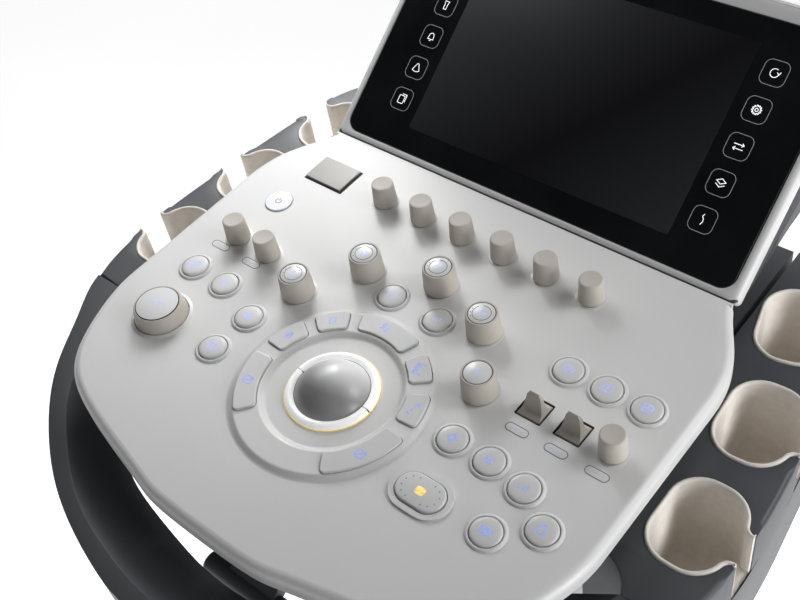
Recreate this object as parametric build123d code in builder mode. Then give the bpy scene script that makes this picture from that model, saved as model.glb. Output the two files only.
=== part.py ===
from build123d import *
import os
from math import cos, degrees, radians, sin

# Cart-mounted ultrasound machine. Millimetres, +Z up, the user stands at -Y and +X is to the user's right.
# The origin is on the floor, under the middle of the machine.
# The console slopes, so its parts are placed on the deck: a plane through the trackball's centre on the
# panel surface, with x to the right, y away from the user and z square to the panel.

# ---- driving dimensions: console ------------------------------------------------------------------------
DECK_TILT = 12.0  # the console slopes down towards the user
BALL_PLACE = (0.0, -190.0, 850.0)  # the deck's origin in the machine's frame
PANEL_DEPTH = 13.0  # height of the panel's rolled edge
PANEL_SKIN = 4.0
PANEL_BACK = 194.0  # deck y where the touch panel begins
PANEL_HALF = 199.0
PANEL_FRONT_Y = -122.0
PANEL_FRONT = [(191, -39, -20), (169, -79, -45), (126, -101, -70), (64, -116.5, -81)]  # x, y, facing
TRAY_TOP = -28.0  # the probe trays lie lower than the panel
TRAY_DEPTH = 100.0
PAN_HALF = 170.0
PAN_FLOOR = -84.0
PAN_BACK = 285.0
PAN_WALL = 4.0

# ---- driving dimensions: controls -----------------------------------------------------------------------
BALL_R = 28.6
RING_OUTER = 31.0
RING_TOP = 3.6
BALL_DROP = 12.8  # the ball's centre lies this far under the panel surface
BAND_INNER = 43.0  # raised band that carries the curved keys
BAND_OUTER = 69.0
BAND_HEIGHT = 2.6
KEY_GAP = 0.5  # clear space round every push button
KEY_ROOT = -7.0  # lower end of the push buttons
KEY_SOFTEN = 0.9  # rounding of their upper edge
BUTTON_R = 9.7
BUTTON_TOP = 2.4
BEZEL_R = 11.4
BEZEL_HEIGHT = 0.9
BEZEL_MARGIN = 2.2  # width of the bezel round the oblong key
BUTTONS = {
    "preset_button_1": (-158.8, 28.3),
    "preset_button_2": (-127.2, 27.5),
    "preset_button_3": (-90.4, 14.6),
    "preset_button_4": (-91.8, -18.4),
    "layout_button_1": (114.8, 93.7),
    "layout_button_2": (142.4, 94.0),
    "layout_button_3": (170.0, 94.3),
    "user_button_1": (86.6, 12.7),
    "user_button_2": (114.4, 12.3),
    "user_button_3": (141.9, 8.5),
    "user_button_4": (140.8, -26.6),
    "user_button_5": (165.9, -8.2),
    "mode_button_left": (-19.2, 82.2),
    "mode_button_right": (20.2, 81.8),
}
RING_KEYS = {  # start and end angle of each curved key
    "ring_key_left": (184.0, 230.0),
    "ring_key_upper_left": (150.0, 175.0),
    "ring_key_top": (120.0, 142.5),
    "ring_key_upper_right": (68.0, 112.0),
    "ring_key_right": (37.5, 59.0),
    "ring_key_lower_right": (4.5, 28.0),
    "ring_key_bottom": (-55.0, -4.5),
}
RING_KEY_R = (48.8, 63.8)
RING_KEY_TOP = BAND_HEIGHT + 1.5
FREEZE_PLACE = (94.3, -27.4)
FREEZE_SIZE = (33.0, 21.0)
FREEZE_TOP = 3.0
POWER_PLACE = (-154.2, 110.9)
POWER_R = 10.4
POWER_TOP = 1.2
DRUM_PLACE = (-145.6, -16.8)
DRUM_R = (19.0, 17.0)
DRUM_HEIGHT = 12.0
DIALS = {
    "dial_left": (-77.6, 51.0),
    "dial_upper_left": (-48.6, 91.4),
    "dial_top": (2.6, 108.2),
    "dial_upper_right": (51.6, 91.0),
    "dial_right": (78.2, 51.2),
}
DIAL_R = (12.0, 10.8)
DIAL_HEIGHT = 19.0
KNOB_R = (9.0, 8.0)
KNOB_HEIGHT = 18.5
SOFT_KNOBS = {f"soft_knob_{k + 1}": (-84.2 + 35.4 * k, 152.7) for k in range(6)}
SIDE_KNOBS = {
    "side_knob_outer": (-153.3, 67.2),
    "side_knob_inner": (-121.4, 65.9),
    "side_knob_right": (169.3, 58.0),
}
SHAFT_R = 3.0
SHAFT_GAP = 0.25
KNOB_LIFT = 0.4  # knobs turn just clear of the panel
PADDLES = {"paddle_left": (114.0, 58.5), "paddle_right": (141.7, 58.5)}
PADDLE_SIZE = (16.2, 15.0)
PADDLE_HEIGHT = 15.0
WELL_GAP = 0.8

# ---- driving dimensions: touch panel --------------------------------------------------------------------
TOUCH_TILT = 36.07  # against the deck
TOUCH_PLACE = (0.0, 229.8, 25.0)  # deck place of the lowest icon row, on the glass
TOUCH_HALF = 172.0
TOUCH_LOW = -42.0
TOUCH_HIGH = 152.0
GLASS_SIZE = (330.0, 174.0, 4.0)
GLASS_MIDDLE = 51.0
HINGE_PLACE = (212.0, -14.0)  # deck y and z of the tilt axis
HINGE_X = 124.0
HINGE_R = 3.0

# ---- driving dimensions: trays, cups and handle ---------------------------------------------------------
CUP_SIZE = (50.0, 65.0)
CUP_CORNER = 22.0
CUP_WALL = 3.0
CUP_DEPTH = 80.0
CUP_GAP = 0.3
SLOT_WIDTH = 17.0
SLOT_DEPTH = 34.0
CUPS = [(224.8, 59.0, 0.0), (219.6, 142.0, 4.0), (203.0, 223.0, 14.0)]  # deck x, y and turn of each cup
HANDLE_DEPTH = 34.0
LEVER_HALF = 40.0
LEVER_PIVOT_X = 24.0
LEVER_AXIS = (-74.0, -76.0)  # deck y and z
LEVER_BAR = (-106.0, -97.0)

# ---- driving dimensions: cart ---------------------------------------------------------------------------
BASE_HALF = 262.0
BASE_FRONT = -274.0
BASE_REAR = 355.4
BASE_CORNER = 90.0
BASE_UNDER = 138.0
BASE_TOP = 196.0
TOWER_HALF = 165.0
TOWER_Y = (-80.0, 240.0)
TOWER_TOP = 700.0
COLUMN_SIZE = (130.0, 90.0)
COLUMN_Y = -4.0
COLUMN_FOOT = 330.0
COLUMN_HEAD = 722.0
COLUMN_GAP = 0.6
COLUMN_WALL = 5.0
FLANGE = 20.0  # how far the column's top plate stands out
WHEEL_R = 62.5
WHEEL_WIDTH = 34.0
AXLE_R = 6.0
AXLE_GAP = 0.1
CASTER_X = 212.0
CASTER_Y = -196.0
CASTER_TRAIL = 32.0
REAR_X = 214.0
REAR_Y = 284.0
FORK_GAP = 1.5

# ---- driving dimensions: monitor ------------------------------------------------------------------------
POST_Y = 234.0
POST_FOOT = 872.0
BRIDGE_Y = (46.0, 274.0)  # the console pan's rear arm, which carries the post
BRIDGE_WIDTH = 130.0
BRIDGE_BOTTOM = 796.0
POST_PIN_R = 15.0
POST_COLLAR = (33.0, 26.0)  # radius and height
POST_SIZE = (52.0, 36.0)
HEAD_WIDTH = 34.0  # the arm's head, between the monitor's lugs
HEAD_Z = 1242.0
HEAD_Y = 201.0
SCREEN_SIZE = (524.0, 40.0, 322.0)
SCREEN_FRONT = 140.0


# ---- frames ---------------------------------------------------------------------------------------------
tilt_sin = sin(radians(DECK_TILT))
tilt_cos = cos(radians(DECK_TILT))
deck = Plane(origin=BALL_PLACE, x_dir=(1, 0, 0), z_dir=(0, -tilt_sin, tilt_cos))


def on_deck(x, y, z=0.0):
    """A plane parallel to the panel, with its origin at a place on the deck."""
    return Plane(origin=deck.from_local_coords((x, y, z)), x_dir=deck.x_dir, z_dir=deck.z_dir)


def upright(x, y, z=0.0):
    """A plane across the deck at a place on it: its x is the deck's x, its y is the deck's normal."""
    return Plane(origin=deck.from_local_coords((x, y, z)), x_dir=deck.x_dir, z_dir=-deck.y_dir)


def side_on(x, y=0.0, z=0.0):
    """A plane seen from the machine's right: its x is the deck's y, its y is the deck's normal."""
    return Plane(origin=deck.from_local_coords((x, y, z)), x_dir=deck.y_dir, z_dir=deck.x_dir)


def save(solid, name):
    """Label a finished piece and write it to its own file."""
    solid.label = name
    export_step(solid, f"parts/{name}.step")


os.makedirs("parts", exist_ok=True)


# ---- outlines that several pieces share -----------------------------------------------------------------
def moved_in(point, inset):
    """A point of an outline, given as x, y and the direction it faces, moved inwards."""
    x, y, facing = point
    return x - inset * cos(radians(facing)), y - inset * sin(radians(facing))


def panel_outline(inset=0.0):
    """The panel seen from above: straight sides, a rounded front and drawn-in rear shoulders."""
    with BuildSketch() as outline:
        with BuildLine():
            back = Line((0, PANEL_BACK - inset), (172 - 0.6 * inset, PANEL_BACK - inset))
            shoulder = Spline(
                back @ 1, moved_in((191, 160, 25), inset), (PANEL_HALF - inset, 122),
                tangents=[(0.42, -0.9), (0, -1)],
            )
            side = Line(shoulder @ 1, (PANEL_HALF - inset, 2))
            Spline(
                side @ 1, *[moved_in(point, inset) for point in PANEL_FRONT], (0, PANEL_FRONT_Y + inset),
                tangents=[(0, -1), (-1, 0)],
            )
            mirror(about=Plane.YZ)
        make_face()
    return outline.sketch


def band_sector(start, end, grow=0.0, corner=3.2):
    """A curved key's outline, between two angles of the band round the trackball."""
    inner = RING_KEY_R[0] - grow
    outer = RING_KEY_R[1] + grow
    extra_inner = degrees(grow / inner)
    extra_outer = degrees(grow / outer)
    with BuildSketch() as outline:
        with BuildLine():
            low = CenterArc((0, 0), inner, start - extra_inner, end - start + 2 * extra_inner)
            high = CenterArc((0, 0), outer, start - extra_outer, end - start + 2 * extra_outer)
            Line(low @ 0, high @ 0)
            Line(low @ 1, high @ 1)
        make_face()
        fillet(outline.vertices(), corner)
    return outline.sketch


def cup_outline(grow=0.0, slot=True):
    """A probe cup seen from above, round its own centre, with its cable slot towards +x."""
    reach = 60.0
    with BuildSketch() as outline:
        RectangleRounded(CUP_SIZE[0] + 2 * grow, CUP_SIZE[1] + 2 * grow, CUP_CORNER + grow)
        if slot:
            width = SLOT_WIDTH + 2 * CUP_WALL + 2 * grow
            with Locations((reach / 2, 0)):
                Rectangle(reach, width)
    return outline.sketch


# ---- control panel --------------------------------------------------------------------------------------
with BuildPart() as control_panel:
    with BuildSketch(on_deck(0, 0, -PANEL_DEPTH)):
        add(panel_outline())
    extrude(amount=PANEL_DEPTH)
    rim = control_panel.faces().sort_by(Axis(deck.origin, deck.z_dir))[-1].edges()
    fillet(rim.sort_by(Axis(deck.origin, deck.y_dir))[:-2], 6.0)
    with BuildSketch(on_deck(0, 0, -PANEL_DEPTH)):
        add(panel_outline(inset=6.5))
    extrude(amount=PANEL_DEPTH - PANEL_SKIN, mode=Mode.SUBTRACT)
    # raised band for the curved keys
    with BuildSketch(upright(0, 0)):
        with BuildLine():
            rise = Spline((BAND_INNER, 0), (BAND_INNER + 5, BAND_HEIGHT), tangents=[(1, 0), (1, 0)])
            top = Line(rise @ 1, (BAND_OUTER - 6, BAND_HEIGHT))
            fall = Spline(top @ 1, (BAND_OUTER, 0), tangents=[(1, 0), (1, 0)])
            Polyline(fall @ 1, (BAND_OUTER, -1), (BAND_INNER, -1), (BAND_INNER, 0))
        make_face()
    revolve(axis=Axis(deck.origin, deck.z_dir))
    # bezels round the buttons
    with BuildSketch(on_deck(0, 0)):
        with Locations(*BUTTONS.values()):
            Circle(BEZEL_R)
        with Locations(FREEZE_PLACE):
            SlotOverall(FREEZE_SIZE[0] + 2 * BEZEL_MARGIN, FREEZE_SIZE[1] + 2 * BEZEL_MARGIN)
    extrude(amount=BEZEL_HEIGHT)
    # openings for the push buttons, the ball and the paddles
    with BuildSketch(on_deck(0, 0, -PANEL_DEPTH)):
        Circle(BALL_R + 0.6)
        with Locations(*BUTTONS.values()):
            Circle(BUTTON_R + KEY_GAP)
        for start, end in RING_KEYS.values():
            add(band_sector(start, end, grow=KEY_GAP, corner=3.6))
        with Locations(FREEZE_PLACE):
            SlotOverall(FREEZE_SIZE[0] + 2 * KEY_GAP, FREEZE_SIZE[1] + 2 * KEY_GAP)
        with Locations(POWER_PLACE):
            Circle(POWER_R + KEY_GAP)
        with Locations(DRUM_PLACE):
            Circle(DRUM_R[0] + KEY_GAP)
        with Locations(*DIALS.values(), *SOFT_KNOBS.values(), *SIDE_KNOBS.values()):
            Circle(SHAFT_R + SHAFT_GAP)
        with Locations(*PADDLES.values()):
            Rectangle(PADDLE_SIZE[0] + 2 * WELL_GAP, PADDLE_SIZE[1] + 2 * WELL_GAP)
    extrude(amount=PANEL_DEPTH + BAND_HEIGHT + 2, mode=Mode.SUBTRACT)
save(control_panel.part, "control_panel")


# ---- trackball and its ring -----------------------------------------------------------------------------
with BuildPart() as trackball:
    with Locations(deck.from_local_coords((0, 0, -BALL_DROP))):
        Sphere(BALL_R)
save(trackball.part, "trackball")

with BuildPart() as trackball_ring:
    # the visible ring, its bore following the ball, and the cup under it
    cup_floor = -BALL_DROP - BALL_R - 0.8
    with BuildSketch(upright(0, 0)):
        with BuildLine():
            Polyline(
                (24.6, 2.2), (26.2, RING_TOP), (29.0, RING_TOP), (RING_OUTER, 1.6), (RING_OUTER, 0.0),
                (BALL_R + 0.5, 0.0), (BALL_R + 0.5, -5.0), (BALL_R + 2.6, -5.0),
                (BALL_R + 2.6, cup_floor - 2), (0, cup_floor - 2), (0, cup_floor), (12, cup_floor),
                (24, cup_floor + 8.5), (BALL_R + 0.6, -20.0), (BALL_R + 0.6, -12.0), (27.8, -3.6),
                (26.9, -1.4), (24.6, 2.2),
            )
        make_face()
    revolve(axis=Axis(deck.origin, deck.z_dir))
    with BuildSketch(on_deck(0, 0, 1.8)):
        with Locations((-28, 0), (28, 0)):
            Rectangle(9, 0.8)
    extrude(amount=4, mode=Mode.SUBTRACT)
save(trackball_ring.part, "trackball_ring")


# ---- push buttons ---------------------------------------------------------------------------------------
def round_button(x, y, radius, height):
    """A round key with a softened top, standing in its opening."""
    with BuildPart() as button:
        with BuildSketch(on_deck(x, y, KEY_ROOT)):
            Circle(radius)
        extrude(amount=height - KEY_ROOT)
        fillet(button.faces().sort_by(Axis(deck.origin, deck.z_dir))[-1].edges(), KEY_SOFTEN)
    return button.part


def ring_key(start, end):
    """One curved key of the band round the trackball."""
    with BuildPart() as key:
        with BuildSketch(on_deck(0, 0, KEY_ROOT)):
            add(band_sector(start, end))
        extrude(amount=RING_KEY_TOP - KEY_ROOT)
        fillet(key.faces().sort_by(Axis(deck.origin, deck.z_dir))[-1].edges(), KEY_SOFTEN)
    return key.part


for name, (x, y) in BUTTONS.items():
    save(round_button(x, y, BUTTON_R, BUTTON_TOP), name)
for name, (start, end) in RING_KEYS.items():
    save(ring_key(start, end), name)
save(round_button(*POWER_PLACE, POWER_R, POWER_TOP), "power_button")

with BuildPart() as freeze_button:
    with BuildSketch(on_deck(*FREEZE_PLACE, KEY_ROOT)):
        SlotOverall(*FREEZE_SIZE)
    extrude(amount=FREEZE_TOP - KEY_ROOT)
    fillet(freeze_button.faces().sort_by(Axis(deck.origin, deck.z_dir))[-1].edges(), KEY_SOFTEN)
save(freeze_button.part, "freeze_button")

with BuildPart() as drum_button:
    with BuildSketch(upright(*DRUM_PLACE)):
        with BuildLine():
            Polyline(
                (0, KEY_ROOT), (DRUM_R[0], KEY_ROOT), (DRUM_R[0], 1.5), (DRUM_R[1], DRUM_HEIGHT - 1.0),
                (DRUM_R[1] - 1.0, DRUM_HEIGHT), (0, DRUM_HEIGHT), (0, KEY_ROOT),
            )
        make_face()
    revolve(axis=Axis(on_deck(*DRUM_PLACE).origin, deck.z_dir))
save(drum_button.part, "drum_button")


# ---- dials and knobs ------------------------------------------------------------------------------------
def turned_knob(x, y, radii, height, cap_groove):
    """A tapered knob on its shaft; a dial also has a groove round the cap in its top."""
    foot, top = radii
    with BuildPart() as knob:
        with BuildSketch(upright(x, y)):
            with BuildLine():
                Polyline(
                    (0, -11), (SHAFT_R, -11), (SHAFT_R, KNOB_LIFT), (foot, KNOB_LIFT), (top, height - 1.2),
                    (top - 1.2, height), (0, height), (0, -11),
                )
            make_face()
        revolve(axis=Axis(on_deck(x, y).origin, deck.z_dir))
        if cap_groove:
            with BuildSketch(on_deck(x, y, height - 0.6)):
                Circle(top - 2.1)
                Circle(top - 2.7, mode=Mode.SUBTRACT)
            extrude(amount=1, mode=Mode.SUBTRACT)
    return knob.part


for name, (x, y) in DIALS.items():
    save(turned_knob(x, y, DIAL_R, DIAL_HEIGHT, cap_groove=True), name)
for name, (x, y) in SOFT_KNOBS.items() | SIDE_KNOBS.items():
    save(turned_knob(x, y, KNOB_R, KNOB_HEIGHT, cap_groove=False), name)


# ---- paddle switches ------------------------------------------------------------------------------------
def paddle_switch(x, y):
    """A saddle that fills the well, drawn up into an upright fin across it."""
    width, depth = PADDLE_SIZE
    half = depth / 2
    with BuildPart() as paddle:
        with BuildSketch(side_on(x - width / 2, y)):
            with BuildLine():
                Polyline((half, 0), (half, -4), (-half, -4), (-half, 0))
                Spline((-half, 0), (-1.8, 4.8), (0.2, PADDLE_HEIGHT), tangents=[(1, 0.1), (0.05, 1)])
                Spline((0.2, PADDLE_HEIGHT), (2.9, PADDLE_HEIGHT - 0.8), tangents=[(1, 0.5), (0.3, -1)])
                Spline((2.9, PADDLE_HEIGHT - 0.8), (3.6, 5.0), (half, 0), tangents=[(0, -1), (1, -0.2)])
            make_face()
        extrude(amount=width)
        # the fin narrows towards its tip
        with BuildSketch(upright(x, y - half)):
            with BuildLine():
                Polyline((-width, 2.5), (-width / 2, 2.5), (-width / 2 + 2.6, PADDLE_HEIGHT + 1),
                         (-width, PADDLE_HEIGHT + 1), (-width, 2.5))
            make_face()
            mirror(about=Plane.YZ)
        extrude(amount=-depth, mode=Mode.SUBTRACT)
    return paddle.part


for name, (x, y) in PADDLES.items():
    save(paddle_switch(x, y), name)


# ---- console pan ----------------------------------------------------------------------------------------
with BuildPart() as console_pan:
    with BuildSketch(on_deck(0, 0, TRAY_TOP - 2)):
        add(panel_outline(inset=13))
        with Locations((0, 110)):
            Rectangle(2 * PANEL_HALF + 20, 200, mode=Mode.SUBTRACT)
        with Locations((0, PANEL_BACK / 2)):
            Rectangle(2 * PAN_HALF, PANEL_BACK - 4)
    extrude(amount=2 - TRAY_TOP - PANEL_DEPTH)
    with BuildSketch(on_deck(0, 0, PAN_FLOOR)):
        with BuildLine():
            Polyline((PAN_HALF, 20), (PAN_HALF, PAN_BACK), (-PAN_HALF, PAN_BACK), (-PAN_HALF, 20))
            Spline((PAN_HALF, 20), (110, -44), (0, -62), (-110, -44), (-PAN_HALF, 20))
        make_face()
    extrude(amount=TRAY_TOP - 2 - PAN_FLOOR)
    # neck over the lift column, and the bridge that carries the monitor post
    with BuildSketch(Plane.XY.offset(COLUMN_HEAD)):
        with Locations((0, COLUMN_Y)):
            RectangleRounded(COLUMN_SIZE[0] + 2 * FLANGE, COLUMN_SIZE[1] + 2 * FLANGE, 20)
    extrude(amount=100)
    with BuildSketch(Plane.XY.offset(BRIDGE_BOTTOM)):
        with Locations((0, (BRIDGE_Y[0] + BRIDGE_Y[1]) / 2)):
            RectangleRounded(BRIDGE_WIDTH, BRIDGE_Y[1] - BRIDGE_Y[0], 30)
    extrude(amount=POST_FOOT - 0.4 - BRIDGE_BOTTOM)
    # hollow inside
    with BuildSketch(on_deck(0, 0, PAN_FLOOR + PAN_WALL + 1)):
        with BuildLine():
            inner = PAN_HALF - PAN_WALL
            Polyline((inner, 26), (inner, 184), (-inner, 184), (-inner, 26))
            Spline((inner, 26), (106, -38), (0, -56), (-106, -38), (-inner, 26))
        make_face()
    extrude(amount=120, mode=Mode.SUBTRACT)
    with BuildSketch(Plane.XY.offset(POST_FOOT - 40)):
        with Locations((0, POST_Y)):
            Circle(POST_PIN_R + 0.2)
    extrude(amount=60, mode=Mode.SUBTRACT)
    # lugs for the touch panel's hinge
    with BuildSketch(side_on(HINGE_X + 6.6)):
        with Locations((HINGE_PLACE[0], (HINGE_PLACE[1] + TRAY_TOP - 3) / 2)):
            Rectangle(14, HINGE_PLACE[1] - TRAY_TOP + 3)
        with Locations(HINGE_PLACE):
            Circle(7)
            Circle(HINGE_R + AXLE_GAP, mode=Mode.SUBTRACT)
    lug = extrude(amount=10)
    mirror(lug, about=Plane.YZ)
    # lugs for the release lever
    with BuildSketch(side_on(LEVER_PIVOT_X + 0.6)):
        with Locations((LEVER_AXIS[0] + 10, LEVER_AXIS[1] + 2)):
            Rectangle(20, 14)
        with Locations(LEVER_AXIS):
            Circle(7)
            Circle(HINGE_R + AXLE_GAP, mode=Mode.SUBTRACT)
    lever_lug = extrude(amount=8)
    mirror(lever_lug, about=Plane.YZ)
save(console_pan.part, "console_pan")


# ---- probe trays and cups -------------------------------------------------------------------------------
def tray_outline():
    """The right tray seen from above, outside the panel's edge."""
    with BuildSketch() as outline:
        with BuildLine():
            corner = Spline((190, 15.5), (205, 8.5), (213, -3.5), tangents=[(1, -0.1), (0.1, -1)])
            Line(corner @ 1, (246, -3.5))
            outer = Spline((246, -3.5), (256, 56), (250, 140), (237, 236), (226, 270),
                           tangents=[(0.15, 1), (-0.5, 0.9)])
            rear = Spline(outer @ 1, (212, 284), (190, PAN_BACK + 2), tangents=[(-0.5, 0.9), (-1, 0)])
            Polyline(rear @ 1, (174, PAN_BACK + 2), (174, 196))
            Spline((174, 196), (192.6, 161), (PANEL_HALF + 1, 122), tangents=[(0.42, -0.9), (0, -1)])
            Polyline((PANEL_HALF + 1, 122), (PANEL_HALF + 1, 20), (190, 20), (190, 15.5))
        make_face()
    return outline.sketch


def cup_plane(cup, z):
    """The plane of one right-hand probe cup, turned so that its slot points outwards."""
    x, y, turn = cup
    outwards = deck.x_dir * cos(radians(turn)) + deck.y_dir * sin(radians(turn))
    return Plane(origin=deck.from_local_coords((x, y, z)), x_dir=outwards, z_dir=deck.z_dir)


with BuildPart() as side_trays:
    with BuildSketch(on_deck(0, 0, TRAY_TOP - TRAY_DEPTH)):
        add(tray_outline())
    extrude(amount=TRAY_DEPTH)
    # inner step, under the panel's edge and against the console pan
    step_x = (PAN_HALF + PANEL_HALF - 1) / 2
    step_width = PANEL_HALF - 1 - PAN_HALF
    with BuildSketch(on_deck(0, 0, TRAY_TOP - TRAY_DEPTH)):
        with Locations((step_x, 68)):
            Rectangle(step_width, 96)
        with Locations(((PAN_HALF + 178) / 2, 180)):
            Rectangle(178 - PAN_HALF, 200)
    extrude(amount=TRAY_DEPTH - 3)
    with BuildSketch(on_deck(0, 0, TRAY_TOP - 10)):
        with Locations((step_x + 6, 68)):
            Rectangle(step_width - 12, 96)
    extrude(amount=10 - TRAY_TOP - PANEL_DEPTH)
    # openings for the cups and their cable slots
    for cup in CUPS:
        with BuildSketch(cup_plane(cup, TRAY_TOP - SLOT_DEPTH - CUP_WALL - CUP_GAP)):
            add(cup_outline(grow=CUP_GAP))
        extrude(amount=SLOT_DEPTH + CUP_WALL + 1, mode=Mode.SUBTRACT)
        with BuildSketch(cup_plane(cup, TRAY_TOP - CUP_DEPTH - CUP_GAP)):
            add(cup_outline(grow=CUP_GAP, slot=False))
        extrude(amount=CUP_DEPTH, mode=Mode.SUBTRACT)
    mirror(about=Plane.YZ)
save(side_trays.part, "side_trays")

with BuildPart() as probe_cups:
    for cup in CUPS:
        with BuildSketch(cup_plane(cup, TRAY_TOP - CUP_DEPTH)):
            add(cup_outline(slot=False))
        extrude(amount=CUP_DEPTH + 1)
        with BuildSketch(cup_plane(cup, TRAY_TOP - SLOT_DEPTH - CUP_WALL)):
            add(cup_outline())
        extrude(amount=SLOT_DEPTH + CUP_WALL + 1)
    for cup in CUPS:
        with BuildSketch(cup_plane(cup, TRAY_TOP - CUP_DEPTH + CUP_WALL)):
            add(cup_outline(grow=-CUP_WALL, slot=False))
        extrude(amount=CUP_DEPTH, mode=Mode.SUBTRACT)
        with BuildSketch(cup_plane(cup, TRAY_TOP - SLOT_DEPTH)):
            add(cup_outline(grow=-CUP_WALL))
        extrude(amount=CUP_DEPTH, mode=Mode.SUBTRACT)
    # the slots end flush with the tray's outer edge
    with BuildSketch(on_deck(0, 0, TRAY_TOP - CUP_DEPTH - 1)):
        add(tray_outline())
    extrude(amount=CUP_DEPTH + 4, mode=Mode.INTERSECT)
    mirror(about=Plane.YZ)
save(probe_cups.part, "probe_cups")


# ---- front handle and release lever ---------------------------------------------------------------------
def handle_region(end_x, points, front):
    """The area inside one line of the handle, from the trays forward to the middle."""
    with BuildSketch() as region:
        with BuildLine():
            side = Line((0, -3.5), (end_x, -3.5))
            Spline(side @ 1, *points, (0, front), tangents=[(-0.25, -1), (-1, 0)])
            mirror(about=Plane.YZ)
        make_face()
    return region.sketch


outer_line = handle_region(246, [(228, -38), (203, -78), (160, -120), (108, -151), (50, -170)], -175)
inner_line = handle_region(212, [(201, -32), (186, -74), (146, -115.5), (96, -145), (44, -159)], -163)
lower_line = handle_region(180, [(170, -26), (152, -68), (116, -99), (74, -112), (36, -119)], -122)

with BuildPart() as front_handle:
    with BuildSketch(on_deck(0, 0, TRAY_TOP - HANDLE_DEPTH)):
        add(outer_line)
    extrude(amount=HANDLE_DEPTH)
    with BuildSketch(on_deck(0, 0, TRAY_TOP - HANDLE_DEPTH)):
        add(lower_line)
    with BuildSketch(on_deck(0, 0, TRAY_TOP)):
        add(inner_line)
    loft(mode=Mode.SUBTRACT)
save(front_handle.part, "front_handle")

with BuildPart() as release_lever:
    with BuildSketch(side_on(-LEVER_PIVOT_X)):
        with Locations(LEVER_AXIS):
            Circle(6)
    extrude(amount=2 * LEVER_PIVOT_X)
    with BuildSketch(side_on(-LEVER_PIVOT_X - 8)):
        with Locations(LEVER_AXIS):
            Circle(HINGE_R)
    extrude(amount=2 * LEVER_PIVOT_X + 16)
    with BuildSketch(side_on(-LEVER_PIVOT_X + 4)):
        with Locations(LEVER_AXIS):
            Circle(4.5)
        with Locations(LEVER_BAR):
            Circle(5.5)
        make_hull()
    extrude(amount=2 * LEVER_PIVOT_X - 8)
    # the finger bar is wider than the arm and rounded at both ends
    with BuildSketch(side_on(-LEVER_HALF)):
        with Locations(LEVER_BAR):
            Ellipse(8.5, 7)
    extrude(amount=2 * LEVER_HALF)
    bar_ends = release_lever.faces().filter_by(GeomType.PLANE).sort_by(Axis.X)
    fillet(bar_ends[0].edges() + bar_ends[-1].edges(), 3.0)
save(release_lever.part, "release_lever")


# ---- touch panel ----------------------------------------------------------------------------------------
touch_sin = sin(radians(TOUCH_TILT))
touch_cos = cos(radians(TOUCH_TILT))
touch_x = deck.x_dir
touch_up = deck.y_dir * touch_cos + deck.z_dir * touch_sin
touch_normal = deck.z_dir * touch_cos - deck.y_dir * touch_sin


def on_glass(x, a, lift=0.0):
    """A plane parallel to the glass; a runs up the glass from the lowest icon row."""
    place = deck.from_local_coords(TOUCH_PLACE) + touch_x * x + touch_up * a + touch_normal * lift
    return Plane(origin=place, x_dir=touch_x, z_dir=touch_normal)


with BuildPart() as touch_housing:
    start = on_glass(-TOUCH_HALF, 0).origin
    with BuildSketch(Plane(origin=start, x_dir=touch_up, z_dir=touch_x)):
        with BuildLine():
            Polyline(
                (TOUCH_LOW, -1.2), (TOUCH_HIGH - 3, -1.2), (TOUCH_HIGH, -4.2), (TOUCH_HIGH - 1, -22),
                (TOUCH_HIGH - 12, -31), (95, -33), (20, -27), (-18, -17), (TOUCH_LOW + 3, -11),
                (TOUCH_LOW, -1.2),
            )
        make_face()
    extrude(amount=2 * TOUCH_HALF)
    sides = touch_housing.faces().sort_by(Axis.X)
    fillet(sides[0].edges() + sides[-1].edges(), 3.0)
    # seat of the glass
    with BuildSketch(on_glass(0, GLASS_MIDDLE, -GLASS_SIZE[2])):
        RectangleRounded(GLASS_SIZE[0] + 0.3, GLASS_SIZE[1] + 0.3, 10)
    extrude(amount=10, mode=Mode.SUBTRACT)
    # hinge ears and pins
    ear_start = HINGE_X - 6
    with BuildSketch(side_on(ear_start)):
        with Locations(HINGE_PLACE):
            Circle(6)
        with Locations((HINGE_PLACE[0], HINGE_PLACE[1] + 8)):
            Rectangle(12, 16)
    ear = extrude(amount=12)
    mirror(ear, about=Plane.YZ)
    with BuildSketch(side_on(ear_start)):
        with Locations(HINGE_PLACE):
            Circle(HINGE_R)
    pin = extrude(amount=23)
    mirror(pin, about=Plane.YZ)
save(touch_housing.part, "touch_housing")

with BuildPart() as touch_glass:
    with BuildSketch(on_glass(0, GLASS_MIDDLE, -GLASS_SIZE[2])):
        RectangleRounded(GLASS_SIZE[0], GLASS_SIZE[1], 10)
    extrude(amount=GLASS_SIZE[2])
    glass_face = touch_glass.faces().sort_by(Axis((0, 0, 0), touch_normal))[-1]
    fillet(glass_face.edges(), 0.8)
save(touch_glass.part, "touch_glass")


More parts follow.
